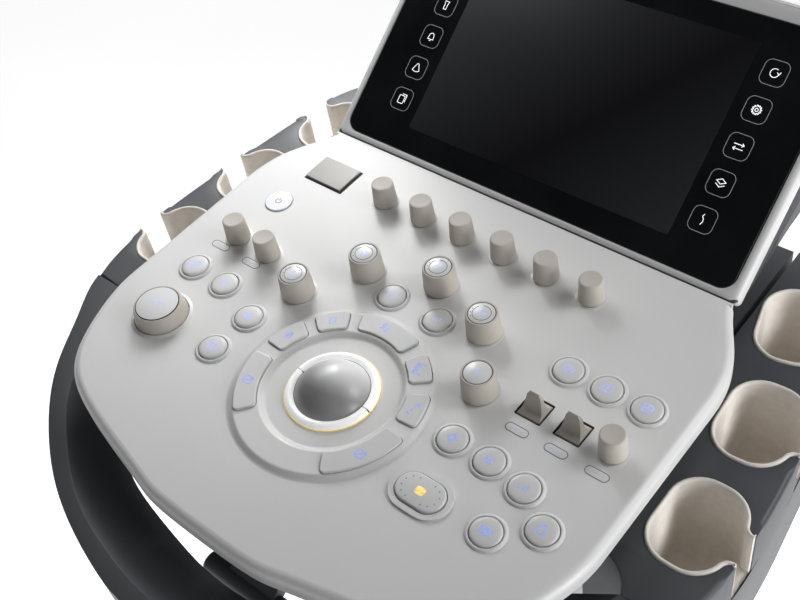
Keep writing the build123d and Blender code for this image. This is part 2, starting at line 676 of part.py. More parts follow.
# ---- cart: base with tower, lift column, casters and wheels ---------------------------------------------
with BuildPart() as cart_body:
    with BuildSketch(Plane.XY.offset(BASE_UNDER)):
        with Locations((0, (BASE_FRONT + BASE_REAR) / 2)):
            RectangleRounded(2 * BASE_HALF, BASE_REAR - BASE_FRONT, BASE_CORNER)
    extrude(amount=BASE_TOP - BASE_UNDER)
    fillet(cart_body.faces().sort_by(Axis.Z)[-1].edges(), 20)
    with BuildSketch(Plane.XY.offset(BASE_TOP - 1)):
        with Locations((0, (TOWER_Y[0] + TOWER_Y[1]) / 2)):
            RectangleRounded(2 * TOWER_HALF, TOWER_Y[1] - TOWER_Y[0], 46)
    extrude(amount=TOWER_TOP - BASE_TOP + 1)
    fillet(cart_body.faces().sort_by(Axis.Z)[-1].edges(), 12)
    # fixed forks for the rear wheels
    fork_half = WHEEL_WIDTH / 2 + FORK_GAP
    for side in (-1, 1):
        for x in (side * REAR_X - fork_half - 4, side * REAR_X + fork_half + 4):
            with BuildSketch(Plane.YZ.offset(x - 4)):
                with BuildLine():
                    Polyline((REAR_Y - 40, BASE_UNDER + 1), (REAR_Y - 14, WHEEL_R - 6))
                    ThreePointArc((REAR_Y - 14, WHEEL_R - 6), (REAR_Y, WHEEL_R - 16),
                                  (REAR_Y + 14, WHEEL_R - 6))
                    Polyline((REAR_Y + 14, WHEEL_R - 6), (REAR_Y + 40, BASE_UNDER + 1),
                             (REAR_Y - 40, BASE_UNDER + 1))
                make_face()
                with Locations((REAR_Y, WHEEL_R)):
                    Circle(AXLE_R + AXLE_GAP, mode=Mode.SUBTRACT)
            extrude(amount=8)
    # well for the lift column and sockets for the caster stems
    with BuildSketch(Plane.XY.offset(COLUMN_FOOT - 20)):
        with Locations((0, COLUMN_Y)):
            RectangleRounded(COLUMN_SIZE[0] + 2 * COLUMN_GAP, COLUMN_SIZE[1] + 2 * COLUMN_GAP, 16)
    extrude(amount=500, mode=Mode.SUBTRACT)
    with BuildSketch(Plane.XY.offset(BASE_UNDER - 1)):
        with Locations((-CASTER_X, CASTER_Y), (CASTER_X, CASTER_Y)):
            Circle(10 + AXLE_GAP)
    extrude(amount=45, mode=Mode.SUBTRACT)
save(cart_body.part, "cart_body")

with BuildPart() as lift_column:
    with BuildSketch(Plane.XY.offset(COLUMN_FOOT)):
        with Locations((0, COLUMN_Y)):
            RectangleRounded(*COLUMN_SIZE, 15.4)
            RectangleRounded(COLUMN_SIZE[0] - 2 * COLUMN_WALL, COLUMN_SIZE[1] - 2 * COLUMN_WALL, 11,
                             mode=Mode.SUBTRACT)
    extrude(amount=COLUMN_HEAD - COLUMN_FOOT)
    with BuildSketch(Plane.XY.offset(COLUMN_HEAD - 8)):
        with Locations((0, COLUMN_Y)):
            RectangleRounded(COLUMN_SIZE[0] + 2 * FLANGE, COLUMN_SIZE[1] + 2 * FLANGE, 20)
    extrude(amount=8)
save(lift_column.part, "lift_column")


def caster_fork(x, y):
    """A swivelling fork: a stem, a crown plate and two cheeks that trail behind the stem."""
    axle_y = y + CASTER_TRAIL
    cheek = WHEEL_WIDTH / 2 + FORK_GAP
    with BuildPart() as fork:
        with BuildSketch(Plane.XY.offset(WHEEL_R * 2 + 4)):
            with BuildLine():
                Polyline((x - cheek - 6, axle_y + 18), (x - cheek - 6, y), (x + cheek + 6, y),
                         (x + cheek + 6, axle_y + 18), (x - cheek - 6, axle_y + 18))
            make_face()
            with Locations((x, y)):
                Circle(cheek + 6)
        extrude(amount=BASE_UNDER - 0.5 - WHEEL_R * 2 - 4)
        with BuildSketch(Plane.XY.offset(BASE_UNDER - 1)):
            with Locations((x, y)):
                Circle(10)
        extrude(amount=40)
        for cheek_x in (x - cheek - 6, x + cheek):
            with BuildSketch(Plane.YZ.offset(cheek_x)):
                with BuildLine():
                    Polyline((axle_y + 12, WHEEL_R + 6), (axle_y + 18, WHEEL_R * 2 + 6),
                             (y - 4, WHEEL_R * 2 + 6), (axle_y - 12, WHEEL_R - 6))
                    ThreePointArc((axle_y - 12, WHEEL_R - 6), (axle_y + 5, WHEEL_R - 12.5),
                                  (axle_y + 12, WHEEL_R + 6))
                make_face()
                with Locations((axle_y, WHEEL_R)):
                    Circle(AXLE_R + AXLE_GAP, mode=Mode.SUBTRACT)
            extrude(amount=6)
    return fork.part


def cart_wheel(x, y, axle_half):
    """A tyred wheel with its axle, turning about X."""
    half = WHEEL_WIDTH / 2
    with BuildPart() as wheel:
        with BuildSketch(Plane.XY.offset(WHEEL_R)):
            with BuildLine():
                Polyline(
                    (x - axle_half, y), (x - axle_half, y + AXLE_R), (x - half, y + AXLE_R),
                    (x - half, y + 17), (x - half + 5, y + 20), (x - half + 5, y + 42),
                    (x - half, y + 46), (x - half, y + WHEEL_R - 8),
                )
                ThreePointArc((x - half, y + WHEEL_R - 8), (x, y + WHEEL_R), (x + half, y + WHEEL_R - 8))
                Polyline(
                    (x + half, y + WHEEL_R - 8), (x + half, y + 46), (x + half - 5, y + 42),
                    (x + half - 5, y + 20), (x + half, y + 17), (x + half, y + AXLE_R),
                    (x + axle_half, y + AXLE_R), (x + axle_half, y), (x - axle_half, y),
                )
            make_face()
        revolve(axis=Axis((x, y, WHEEL_R), (1, 0, 0)))
    return wheel.part


for side, name in ((-1, "left"), (1, "right")):
    save(caster_fork(side * CASTER_X, CASTER_Y), f"caster_fork_{name}")
    axle_half = WHEEL_WIDTH / 2 + FORK_GAP + 6
    save(cart_wheel(side * CASTER_X, CASTER_Y + CASTER_TRAIL, axle_half), f"caster_wheel_{name}")
    save(cart_wheel(side * REAR_X, REAR_Y, axle_half + 2), f"rear_wheel_{name}")


# ---- monitor and its arm --------------------------------------------------------------------------------
with BuildPart() as monitor_arm:
    with BuildSketch(Plane.XY.offset(POST_FOOT - 30)):
        with Locations((0, POST_Y)):
            Circle(POST_PIN_R)
    extrude(amount=32)
    with BuildSketch(Plane.XY.offset(POST_FOOT)):
        with Locations((0, POST_Y)):
            Circle(POST_COLLAR[0])
    extrude(amount=POST_COLLAR[1])
    with BuildSketch(Plane.XY.offset(POST_FOOT + 20)):
        with Locations((0, POST_Y)):
            RectangleRounded(*POST_SIZE, 14)
    extrude(amount=HEAD_Z - POST_FOOT)
    with BuildSketch(Plane.YZ.offset(-HEAD_WIDTH / 2)):
        with Locations((HEAD_Y, HEAD_Z)):
            Circle(16)
        with Locations(((HEAD_Y + POST_Y) / 2, HEAD_Z)):
            Rectangle(POST_Y - HEAD_Y, 30)
        with Locations((HEAD_Y, HEAD_Z)):
            Circle(AXLE_R + AXLE_GAP, mode=Mode.SUBTRACT)
    extrude(amount=HEAD_WIDTH)
save(monitor_arm.part, "monitor_arm")

with BuildPart() as monitor:
    with BuildSketch(Plane.XZ.offset(-SCREEN_FRONT)):
        with Locations((0, HEAD_Z)):
            RectangleRounded(SCREEN_SIZE[0], SCREEN_SIZE[2], 12)
    extrude(amount=-16)
    with BuildSketch(Plane.XZ.offset(-SCREEN_FRONT - 15)):
        with Locations((0, HEAD_Z)):
            RectangleRounded(SCREEN_SIZE[0] - 60, SCREEN_SIZE[2] - 60, 20)
    extrude(amount=-(SCREEN_SIZE[1] - 15), taper=20)
    with BuildSketch(Plane.YZ.offset(HEAD_WIDTH / 2 + 0.5)):
        with Locations((HEAD_Y, HEAD_Z)):
            Circle(14)
        with Locations(((HEAD_Y + SCREEN_FRONT + 30) / 2, HEAD_Z)):
            Rectangle(HEAD_Y - SCREEN_FRONT - 30, 28)
    lug = extrude(amount=10)
    mirror(lug, about=Plane.YZ)
    with BuildSketch(Plane.YZ.offset(-HEAD_WIDTH / 2 - 10.5)):
        with Locations((HEAD_Y, HEAD_Z)):
            Circle(AXLE_R)
    extrude(amount=HEAD_WIDTH + 21)
save(monitor.part, "monitor")
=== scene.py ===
from math import atan2, cos, degrees, pi, radians, sin, sqrt, tau

import bmesh
import bpy
from mathutils import Matrix, Vector
from mathutils.geometry import tessellate_polygon


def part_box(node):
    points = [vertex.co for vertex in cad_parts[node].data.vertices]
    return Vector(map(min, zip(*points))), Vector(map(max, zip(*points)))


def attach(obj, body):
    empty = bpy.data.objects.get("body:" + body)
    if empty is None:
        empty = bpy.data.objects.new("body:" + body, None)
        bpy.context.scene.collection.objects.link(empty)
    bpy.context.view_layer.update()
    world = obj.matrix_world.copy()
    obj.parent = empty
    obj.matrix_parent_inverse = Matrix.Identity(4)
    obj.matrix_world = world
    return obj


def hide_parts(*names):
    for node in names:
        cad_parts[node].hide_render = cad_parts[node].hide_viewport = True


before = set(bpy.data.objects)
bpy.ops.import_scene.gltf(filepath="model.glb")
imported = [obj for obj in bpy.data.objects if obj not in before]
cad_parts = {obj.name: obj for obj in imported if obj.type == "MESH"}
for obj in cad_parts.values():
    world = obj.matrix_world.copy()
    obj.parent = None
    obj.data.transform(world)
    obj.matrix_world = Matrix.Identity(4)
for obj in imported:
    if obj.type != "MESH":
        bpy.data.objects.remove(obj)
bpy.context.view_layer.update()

# Looks of the cart-mounted ultrasound machine. Pieces are drawn in millimetres in one of the local frames
# below and placed in the row frame, which is in metres.

MM = 0.001
scene = bpy.context.scene


# ---- local frames ---------------------------------------------------------------------------------------
DECK_TILT = radians(12.0)  # slope of the console
TOUCH_TILT = radians(36.07)  # the touch panel, against the console
BALL_DROP = 12.8  # the ball's centre lies this far under the panel surface


def middle(node):
    low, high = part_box(node)
    return (low + high) / 2


def extent(node, axes):
    """Lowest and highest corner of a CAD node, measured in a local frame."""
    back = axes.inverted()
    points = [back @ vertex.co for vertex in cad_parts[node].data.vertices]
    low = Vector([min(point[axis] for point in points) for axis in range(3)])
    high = Vector([max(point[axis] for point in points) for axis in range(3)])
    return low, high


def spot(node, axes):
    """Middle of a CAD node across a local frame, and its top."""
    low, high = extent(node, axes)
    return (low.x + high.x) / 2, (low.y + high.y) / 2, high.z


ROW = Matrix.Scale(MM, 4)
deck_turn = Matrix.Rotation(DECK_TILT, 4, "X") @ ROW
DECK = Matrix.Translation(middle("trackball")) @ deck_turn @ Matrix.Translation((0, 0, BALL_DROP))
glass_turn = Matrix.Rotation(DECK_TILT + TOUCH_TILT, 4, "X") @ ROW
GLASS = glass_turn @ Matrix.Translation(spot("touch_glass", glass_turn))


def at(axes, x, y, z=0.0, turn=0.0):
    """A frame moved to a place in a local frame and turned about its own Z, in degrees."""
    return axes @ Matrix.Translation((x, y, z)) @ Matrix.Rotation(radians(turn), 4, "Z")


# ---- materials ------------------------------------------------------------------------------------------
def shade(colour, factor):
    return tuple(min(1.0, channel * factor) for channel in colour[:3]) + (1.0,)


class Nodes:
    """A material's node tree, with short ways to add the nodes that several materials share."""

    def __init__(self, name):
        self.material = bpy.data.materials.new(name)
        self.material.use_nodes = True
        self.tree = self.material.node_tree
        self.shader = self.tree.nodes["Principled BSDF"]
        self.place = self.add("ShaderNodeTexCoord").outputs["Object"]

    def add(self, kind, **settings):
        node = self.tree.nodes.new(kind)
        for key, value in settings.items():
            setattr(node, key, value)
        return node

    def link(self, output, target):
        self.tree.links.new(output, target)

    def noise(self, scale, detail=3.0, rough=0.55):
        node = self.add("ShaderNodeTexNoise")
        node.inputs["Scale"].default_value = scale
        node.inputs["Detail"].default_value = detail
        node.inputs["Roughness"].default_value = rough
        self.link(self.place, node.inputs["Vector"])
        return node.outputs["Fac"]

    def ramp(self, source, stops):
        node = self.add("ShaderNodeValToRGB")
        ramp = node.color_ramp
        while len(ramp.elements) < len(stops):
            ramp.elements.new(0.5)
        for element, (position, colour) in zip(ramp.elements, stops):
            element.position = position
            element.color = colour
        self.link(source, node.inputs["Fac"])
        return node.outputs["Color"]

    def span(self, source, low, high):
        node = self.add("ShaderNodeMapRange")
        node.inputs["To Min"].default_value = low
        node.inputs["To Max"].default_value = high
        self.link(source, node.inputs["Value"])
        return node.outputs["Result"]

    def grain(self, source, strength, depth):
        node = self.add("ShaderNodeBump")
        node.inputs["Strength"].default_value = strength
        node.inputs["Distance"].default_value = depth
        self.link(source, node.inputs["Height"])
        self.link(node.outputs["Normal"], self.shader.inputs["Normal"])


def moulded(name, colour, rough, grain=2600.0, grain_depth=0.00002, drift=0.04, coat=0.0, metal=0.0):
    """Moulded plastic or painted metal: a fine spark-eroded grain and a slow drift of tone."""
    nodes = Nodes(name)
    tone = nodes.noise(7.0, 2.0)
    fine = nodes.noise(grain, 2.0)
    stops = [(0.3, shade(colour, 1 - drift)), (0.7, shade(colour, 1 + drift))]
    nodes.link(nodes.ramp(tone, stops), nodes.shader.inputs["Base Color"])
    nodes.link(nodes.span(fine, rough - 0.05, rough + 0.05), nodes.shader.inputs["Roughness"])
    nodes.grain(fine, 0.35, grain_depth)
    nodes.shader.inputs["Coat Weight"].default_value = coat
    nodes.shader.inputs["Coat Roughness"].default_value = 0.25
    nodes.shader.inputs["Metallic"].default_value = metal
    return nodes.material


def rubber(name, colour):
    """Soft-touch rubber: matt with a faint sheen and a mottled tone."""
    nodes = Nodes(name)
    mottle = nodes.noise(160.0, 4.0, 0.6)
    fine = nodes.noise(3400.0, 2.0)
    stops = [(0.35, shade(colour, 0.95)), (0.65, shade(colour, 1.05))]
    nodes.link(nodes.ramp(mottle, stops), nodes.shader.inputs["Base Color"])
    nodes.link(nodes.span(fine, 0.55, 0.7), nodes.shader.inputs["Roughness"])
    nodes.grain(fine, 0.4, 0.00003)
    nodes.shader.inputs["Sheen Weight"].default_value = 0.15
    return nodes.material


def glossy(name, colour, rough, coat=0.6, glow=0.0):
    """Polished resin: a clear gloss over a tone that drifts a little, with faint handling marks, and painted
    light where a glow is given: a white emission though it is no lamp.
    """
    nodes = Nodes(name)
    tone = nodes.noise(45.0, 3.0)
    marks = nodes.noise(260.0, 5.0, 0.7)
    stops = [(0.3, shade(colour, 0.97)), (0.7, shade(colour, 1.03))]
    nodes.link(nodes.ramp(tone, stops), nodes.shader.inputs["Base Color"])
    nodes.link(nodes.span(marks, rough - 0.03, rough + 0.06), nodes.shader.inputs["Roughness"])
    nodes.shader.inputs["Coat Weight"].default_value = coat
    nodes.shader.inputs["Coat Roughness"].default_value = 0.08
    # the glow is painted light: a white emission that brightens a part that is no lamp
    nodes.shader.inputs["Emission Color"].default_value = (1.0, 1.0, 1.0, 1.0)
    nodes.shader.inputs["Emission Strength"].default_value = glow
    return nodes.material


def lit(name, colour, strength, drift=0.15):
    """A legend or lamp lit from behind, a little uneven as light guides are."""
    nodes = Nodes(name)
    uneven = nodes.noise(420.0, 2.0)
    stops = [(0.3, shade(colour, 1 - drift)), (0.7, shade(colour, 1 + drift))]
    glow = nodes.ramp(uneven, stops)
    nodes.link(glow, nodes.shader.inputs["Base Color"])
    nodes.link(glow, nodes.shader.inputs["Emission Color"])
    nodes.shader.inputs["Emission Strength"].default_value = strength
    nodes.shader.inputs["Roughness"].default_value = 0.4
    return nodes.material


def brushed(name, colour, rough):
    """Metal with a fine directional finish."""
    nodes = Nodes(name)
    stretch = nodes.add("ShaderNodeMapping")
    stretch.inputs["Scale"].default_value = (40.0, 900.0, 900.0)
    nodes.link(nodes.place, stretch.inputs["Vector"])
    nodes.place = stretch.outputs["Vector"]
    lines = nodes.noise(1.0, 3.0)
    stops = [(0.3, shade(colour, 0.85)), (0.7, shade(colour, 1.1))]
    nodes.link(nodes.ramp(lines, stops), nodes.shader.inputs["Base Color"])
    nodes.link(nodes.span(lines, rough - 0.08, rough + 0.08), nodes.shader.inputs["Roughness"])
    nodes.shader.inputs["Metallic"].default_value = 0.9
    return nodes.material


PANEL = moulded("panel_plastic_fine", (0.74, 0.74, 0.74), 0.42, drift=0.012, coat=0.12)
KEY = moulded("key_plastic_fine", (0.69, 0.69, 0.695), 0.36, grain=3400.0, drift=0.015, coat=0.15)
KNOB = moulded("knob_plastic_fine", (0.57, 0.53, 0.475), 0.5, grain=2200.0, grain_depth=0.00004)
CAP = moulded("dial_cap_fine", (0.72, 0.72, 0.73), 0.3, drift=0.015, coat=0.3)
# the white ring's glow is painted light that brightens it; the ring is no lamp
RING_WHITE_PAINTED_GLOW = glossy("ring_white_gloss_painted_glow", (0.9, 0.9, 0.9), 0.16, glow=0.34)
POWER_WHITE = glossy("power_white_gloss", (0.82, 0.82, 0.83), 0.3, 0.3)


def ball_painted_highlight():
    """Grey resin ball, with painted light: lighter where the surface faces up and to the rear, a painted
    highlight.
    """
    nodes = Nodes("ball_gloss_painted_highlight")
    facing = nodes.add("ShaderNodeNewGeometry").outputs["Normal"]
    up = nodes.add("ShaderNodeVectorMath", operation="DOT_PRODUCT")
    nodes.link(facing, up.inputs[0])
    up.inputs[1].default_value = (-0.1, 0.55, 0.83)
    share = nodes.span(up.outputs["Value"], 0.0, 1.0)
    share.node.inputs["From Min"].default_value = 0.35
    # painted highlight and shade: the colour runs from dark to light with the way the surface faces
    tone = nodes.ramp(share, [
        (0.0, (0.3, 0.3, 0.3, 1)), (0.3, (0.44, 0.44, 0.445, 1)), (0.7, (0.7, 0.7, 0.705, 1)),
        (1.0, (0.9, 0.9, 0.9, 1)),
    ])
    marks = nodes.noise(260.0, 5.0, 0.7)
    nodes.link(tone, nodes.shader.inputs["Base Color"])
    nodes.link(nodes.span(marks, 0.3, 0.4), nodes.shader.inputs["Roughness"])
    nodes.shader.inputs["Coat Weight"].default_value = 0.3
    nodes.shader.inputs["Coat Roughness"].default_value = 0.3
    return nodes.material


BALL = ball_painted_highlight()
SLATE = moulded("slate_plastic_fine", (0.058, 0.063, 0.071), 0.46, grain=1900.0, grain_depth=0.00004)
SLATE_LIGHT = moulded("slate_plastic_light", (0.12, 0.125, 0.135), 0.5, grain=1900.0, grain_depth=0.00004)
SHADOW_LINE = moulded("shadow_gap", (0.012, 0.012, 0.013), 0.7)
CUP = rubber("cup_rubber_soft", (0.84, 0.79, 0.73))
BEIGE = moulded("beige_plate_fine", (0.40, 0.385, 0.36), 0.42, grain=3000.0)
BODY = moulded("body_plastic_fine", (0.6, 0.6, 0.605), 0.44, grain=1600.0, grain_depth=0.00004, drift=0.02)
FOOT = moulded("knob_foot_clear", (0.72, 0.72, 0.70), 0.25, coat=0.4)
STEEL = brushed("steel_brushed", (0.5, 0.5, 0.52), 0.32)
FORK = brushed("fork_metal_brushed", (0.16, 0.165, 0.175), 0.4)
TYRE = rubber("tyre_rubber", (0.028, 0.028, 0.03))
LEGEND_BLUE = lit("legend_blue", (0.2, 0.3, 0.85), 0.6)
LEGEND_PALE = lit("legend_pale", (0.36, 0.41, 0.86), 0.6)
LEGEND_DIM = lit("legend_dim", (0.42, 0.42, 0.62), 0.35)
LEGEND_FAINT = lit("legend_faint", (0.3, 0.31, 0.33), 0.35)
LEGEND_WHITE = lit("legend_white", (0.85, 0.87, 0.9), 0.9)
GLOW_YELLOW = lit("glow_yellow", (0.86, 0.62, 0.2), 0.62, drift=0.3)
GLOW_AMBER = lit("glow_amber", (0.72, 0.5, 0.08), 0.55)
GLOW_BLUE = lit("glow_blue", (0.42, 0.5, 1.0), 1.0)
MARK_GREY = moulded("printed_grey", (0.16, 0.16, 0.17), 0.5)


def black_glass():
    """Cover glass: near-black under a clear gloss, with a faint smear of handling."""
    nodes = Nodes("black_glass_clear")
    smear = nodes.noise(14.0, 4.0, 0.6)
    stops = [(0.3, (0.004, 0.0045, 0.006, 1)), (0.75, (0.01, 0.011, 0.013, 1))]
    nodes.link(nodes.ramp(smear, stops), nodes.shader.inputs["Base Color"])
    nodes.link(nodes.span(smear, 0.1, 0.2), nodes.shader.inputs["Roughness"])
    nodes.shader.inputs["Specular IOR Level"].default_value = 0.17
    return nodes.material


BLACK_GLASS = black_glass()
DISPLAY_GREY = moulded(
    "display_matt", (0.018, 0.019, 0.022), 0.3, grain=4000.0, grain_depth=0.000004, drift=0.2
)

FINISHES = {  # the record's material slots, as the CAD nodes carry them
    "panel_plastic": PANEL,
    "key_plastic": KEY,
    "knob_plastic": KNOB,
    "ring_white": RING_WHITE_PAINTED_GLOW,
    "ball": BALL,
    "slate_plastic": SLATE,
    "cup_rubber": CUP,
    "black_glass": BLACK_GLASS,
    "steel": STEEL,
    "body_plastic": BODY,
    "fork_metal": FORK,
    "tyre": TYRE,
}
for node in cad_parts.values():
    for holder in node.material_slots:
        holder.material = FINISHES[holder.material.name.split(".")[0]]


# ---- camera, light and floor ----------------------------------------------------------------------------
CAMERA_PLACE = (0.3753, -0.5645, 1.3375)
CAMERA_RIGHT = Vector((0.7628, 0.6466, -0.0033))
CAMERA_FORWARD = Vector((-0.5102, 0.5988, -0.6173))
CAMERA_LENS = 51.08
SENSOR = 36.0
WORLD_LIGHT = 0.07  # how bright the world is as a light
WORLD_SEEN = 0.93  # and as a background


def camera():
    data = bpy.data.cameras.new("camera")
    data.lens = CAMERA_LENS
    data.sensor_width = SENSOR
    data.clip_end = 50.0
    forward = CAMERA_FORWARD.normalized()
    right = (CAMERA_RIGHT - forward * CAMERA_RIGHT.dot(forward)).normalized()
    up = right.cross(forward)
    turn = Matrix((right, up, -forward)).transposed().to_4x4()
    thing = bpy.data.objects.new("camera", data)
    thing.matrix_world = Matrix.Translation(CAMERA_PLACE) @ turn
    scene.collection.objects.link(thing)
    scene.camera = thing


def softbox(name, place, aim, size, power, tint=(1.0, 1.0, 1.0)):
    """A square area light that faces a point."""
    data = bpy.data.lights.new(name, "AREA")
    data.shape = "RECTANGLE"
    data.size, data.size_y = size
    data.energy = power
    data.color = tint
    thing = bpy.data.objects.new(name, data)
    away = Vector(place) - Vector(aim)
    thing.matrix_world = Matrix.Translation(place) @ away.to_track_quat("Z", "Y").to_matrix().to_4x4()
    scene.collection.objects.link(thing)


def surroundings():
    world = bpy.data.worlds.new("studio")
    world.use_nodes = True
    backdrop = world.node_tree.nodes["Background"]
    backdrop.inputs["Color"].default_value = (1.0, 1.0, 1.0, 1.0)
    rays = world.node_tree.nodes.new("ShaderNodeLightPath")
    level = world.node_tree.nodes.new("ShaderNodeMapRange")
    level.inputs["To Min"].default_value = WORLD_LIGHT
    level.inputs["To Max"].default_value = WORLD_SEEN
    world.node_tree.links.new(rays.outputs["Is Camera Ray"], level.inputs["Value"])
    world.node_tree.links.new(level.outputs["Result"], backdrop.inputs["Strength"])
    scene.world = world
    softbox("key_back_left", (-0.42, 0.42, 1.42), (-0.12, -0.02, 0.87), (0.55, 0.35), 8.2)
    softbox("fill_left", (-0.55, 0.05, 1.35), (-0.12, -0.05, 0.87), (0.4, 0.4), 1.4)
    softbox("fill_right", (0.7, 0.3, 1.6), (0.12, 0.0, 0.85), (0.5, 0.5), 4.6)
    softbox("rim_right", (1.5, -0.15, 1.02), (0.2, -0.05, 0.87), (0.3, 0.9), 11.0)
    softbox("overhead", (-0.1, 0.5, 2.3), (0.0, 0.0, 0.8), (1.2, 1.0), 1.6)
    scene.view_settings.view_transform = "Standard"
    bm = bmesh.new()
    bmesh.ops.create_grid(bm, x_segments=8, y_segments=8, size=9.0)
    mesh = bpy.data.meshes.new("floor")
    bm.to_mesh(mesh)
    bm.free()
    nodes = Nodes("floor_pale")
    tone = nodes.noise(0.8, 2.0)
    pale = nodes.ramp(tone, [(0.3, (0.86, 0.86, 0.865, 1)), (0.7, (0.9, 0.9, 0.9, 1))])
    nodes.link(pale, nodes.shader.inputs["Base Color"])
    nodes.link(pale, nodes.shader.inputs["Emission Color"])
    nodes.shader.inputs["Emission Strength"].default_value = 1.0
    nodes.shader.inputs["Roughness"].default_value = 0.8
    mesh.materials.append(nodes.material)
    floor = bpy.data.objects.new("floor", mesh)
    scene.collection.objects.link(floor)


camera()
surroundings()


# ---- mesh helpers ---------------------------------------------------------------------------------------
def piece(name, bm, place, body, finish, stands_for=(), crease=38.0):
    """Turns a mesh drawn in a local frame into a shown piece that rides on a CAD body."""
    bmesh.ops.recalc_face_normals(bm, faces=bm.faces)
    bm.transform(place)
    for face in bm.faces:
        face.smooth = True
    for edge in bm.edges:
        edge.smooth = len(edge.link_faces) == 2 and edge.calc_face_angle(0.0) < radians(crease)
    mesh = bpy.data.meshes.new(name)
    bm.to_mesh(mesh)
    bm.free()
    mesh.materials.append(finish)
    thing = bpy.data.objects.new(name, mesh)
    scene.collection.objects.link(thing)
    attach(thing, body)
    if stands_for:
        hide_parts(*stands_for)


def join_rings(bm, lower, upper, closed=True):
    """Faces between two rings of vertices, either of which may be a single point."""
    count = max(len(lower), len(upper))
    if count == 1:
        return
    for k in range(count if closed else count - 1):
        following = (k + 1) % count
        corners = [lower[0]] if len(lower) == 1 else [lower[k], lower[following]]
        corners += [upper[0]] if len(upper) == 1 else [upper[following], upper[k]]
        bm.faces.new(corners)


def lathe(profile, steps=64, looped=False, bm=None):
    """A shape turned about Z from (radius, height) points."""
    bm = bm or bmesh.new()
    rings = []
    for radius, height in profile:
        if radius < 1e-4:
            rings.append([bm.verts.new((0, 0, height))])
        else:
            angles = [tau * k / steps for k in range(steps)]
            rings.append([bm.verts.new((radius * cos(a), radius * sin(a), height)) for a in angles])
    for lower, upper in zip(rings, rings[1:] + rings[:1] if looped else rings[1:]):
        join_rings(bm, lower, upper)
    return bm


def loft(sections, capped=True, looped=False, bm=None):
    """A skin over closed sections with the same number of points each."""
    bm = bm or bmesh.new()
    rings = [[bm.verts.new(point) for point in section] for section in sections]
    for lower, upper in zip(rings, rings[1:] + rings[:1] if looped else rings[1:]):
        join_rings(bm, lower, upper)
    if capped and not looped:
        bm.faces.new(rings[0])
        bm.faces.new(rings[-1])
    return bm


def arc(middle_point, radius, start, end, steps=8):
    """Points along an arc, with its angles in degrees."""
    x, y = middle_point
    angles = [radians(start + (end - start) * k / steps) for k in range(steps + 1)]
    return [(x + radius * cos(a), y + radius * sin(a)) for a in angles]


def rounded_box(width, depth, radius, steps=7):
    x, y = width / 2 - radius, depth / 2 - radius
    corners = [((x, y), 0), ((-x, y), 90), ((-x, -y), 180), ((x, -y), 270)]
    return [point for corner, start in corners for point in arc(corner, radius, start, start + 90, steps)]


def inset(outline, distance):
    """A closed outline, given anticlockwise, moved inwards."""
    result = []
    count = len(outline)
    for k, point in enumerate(outline):
        before = Vector(point) - Vector(outline[k - 1])
        after = Vector(outline[(k + 1) % count]) - Vector(point)
        along = (before.normalized() + after.normalized()).normalized()
        spread = max(0.5, along.dot(after.normalized()))
        result.append((point[0] - along.y * distance / spread, point[1] + along.x * distance / spread))
    return result


def plate(outline, bottom, top, edge, steps=4, bm=None):
    """A plate with upright sides and a rounded upper edge."""
    sections = [[(x, y, bottom) for x, y in outline]]
    for k in range(steps + 1):
        turn = pi / 2 * k / steps
        height = top - edge + edge * sin(turn)
        sections.append([(x, y, height) for x, y in inset(outline, edge * (1 - cos(turn)))])
    return loft(sections, bm=bm)


def frame_plate(outline, width, bottom, top, edge=0.2, bm=None):
    """A flat ring with softened upper edges, of even width inside an outline."""
    sections = []
    for distance, height in (
        (0, bottom), (0, top - edge), (edge * 0.4, top), (width - edge * 0.4, top),
        (width, top - edge), (width, bottom),
    ):
        sections.append([(x, y, height) for x, y in inset(outline, distance)])
    return loft(sections, looped=True, bm=bm)


def ribbon(bm, path, width, bottom, top, closed=False):
    """A raised line along a flat path."""
    count = len(path)
    sections = []
    for k, point in enumerate(path):
        point = Vector(point)
        before = point - Vector(path[k - 1]) if closed or k else None
        after = Vector(path[(k + 1) % count]) - point if closed or k < count - 1 else None
        directions = [way.normalized() for way in (before, after) if way is not None and way.length > 1e-6]
        along = sum(directions, Vector((0, 0))).normalized()
        reach = width / 2 / max(0.5, along.dot(directions[-1]))
        side = Vector((-along.y, along.x)) * reach
        left, right = point + side, point - side
        sections.append([(*left, bottom), (*right, bottom), (*right, top), (*left, top)])
    loft(sections, capped=not closed, looped=closed, bm=bm)


def moved(outline, x, y):
    return [(x + px, y + py) for px, py in outline]


def prism(bm, outline, low, high):
    """An upright solid over a flat outline."""
    loft([[(*point, low) for point in outline], [(*point, high) for point in outline]], bm=bm)


def gather(bm, part, place):
    """Moves a mesh to its place in another one, and frees it."""
    part.transform(place)
    data = bpy.data.meshes.new("part")
    part.to_mesh(data)
    part.free()
    bm.from_mesh(data)
    bpy.data.meshes.remove(data)


def triangulate_wide(bm, most=4):
    """Splits every face with more than that many corners into triangles."""
    bmesh.ops.triangulate(bm, faces=[face for face in bm.faces if len(face.verts) > most])


def slab(name, size, levels, place, body, finish):
    """A plate with rounded corners. The size is its width, depth and corner radius; the levels are its
    bottom, top and edge radius."""
    piece(name, plate(rounded_box(*size), *levels), place, body, finish)


def rim(name, size, levels, place, body, finish):
    """A flat ring with rounded corners. The levels are its width, bottom, top and edge radius."""
    piece(name, frame_plate(rounded_box(*size), *levels), place, body, finish)


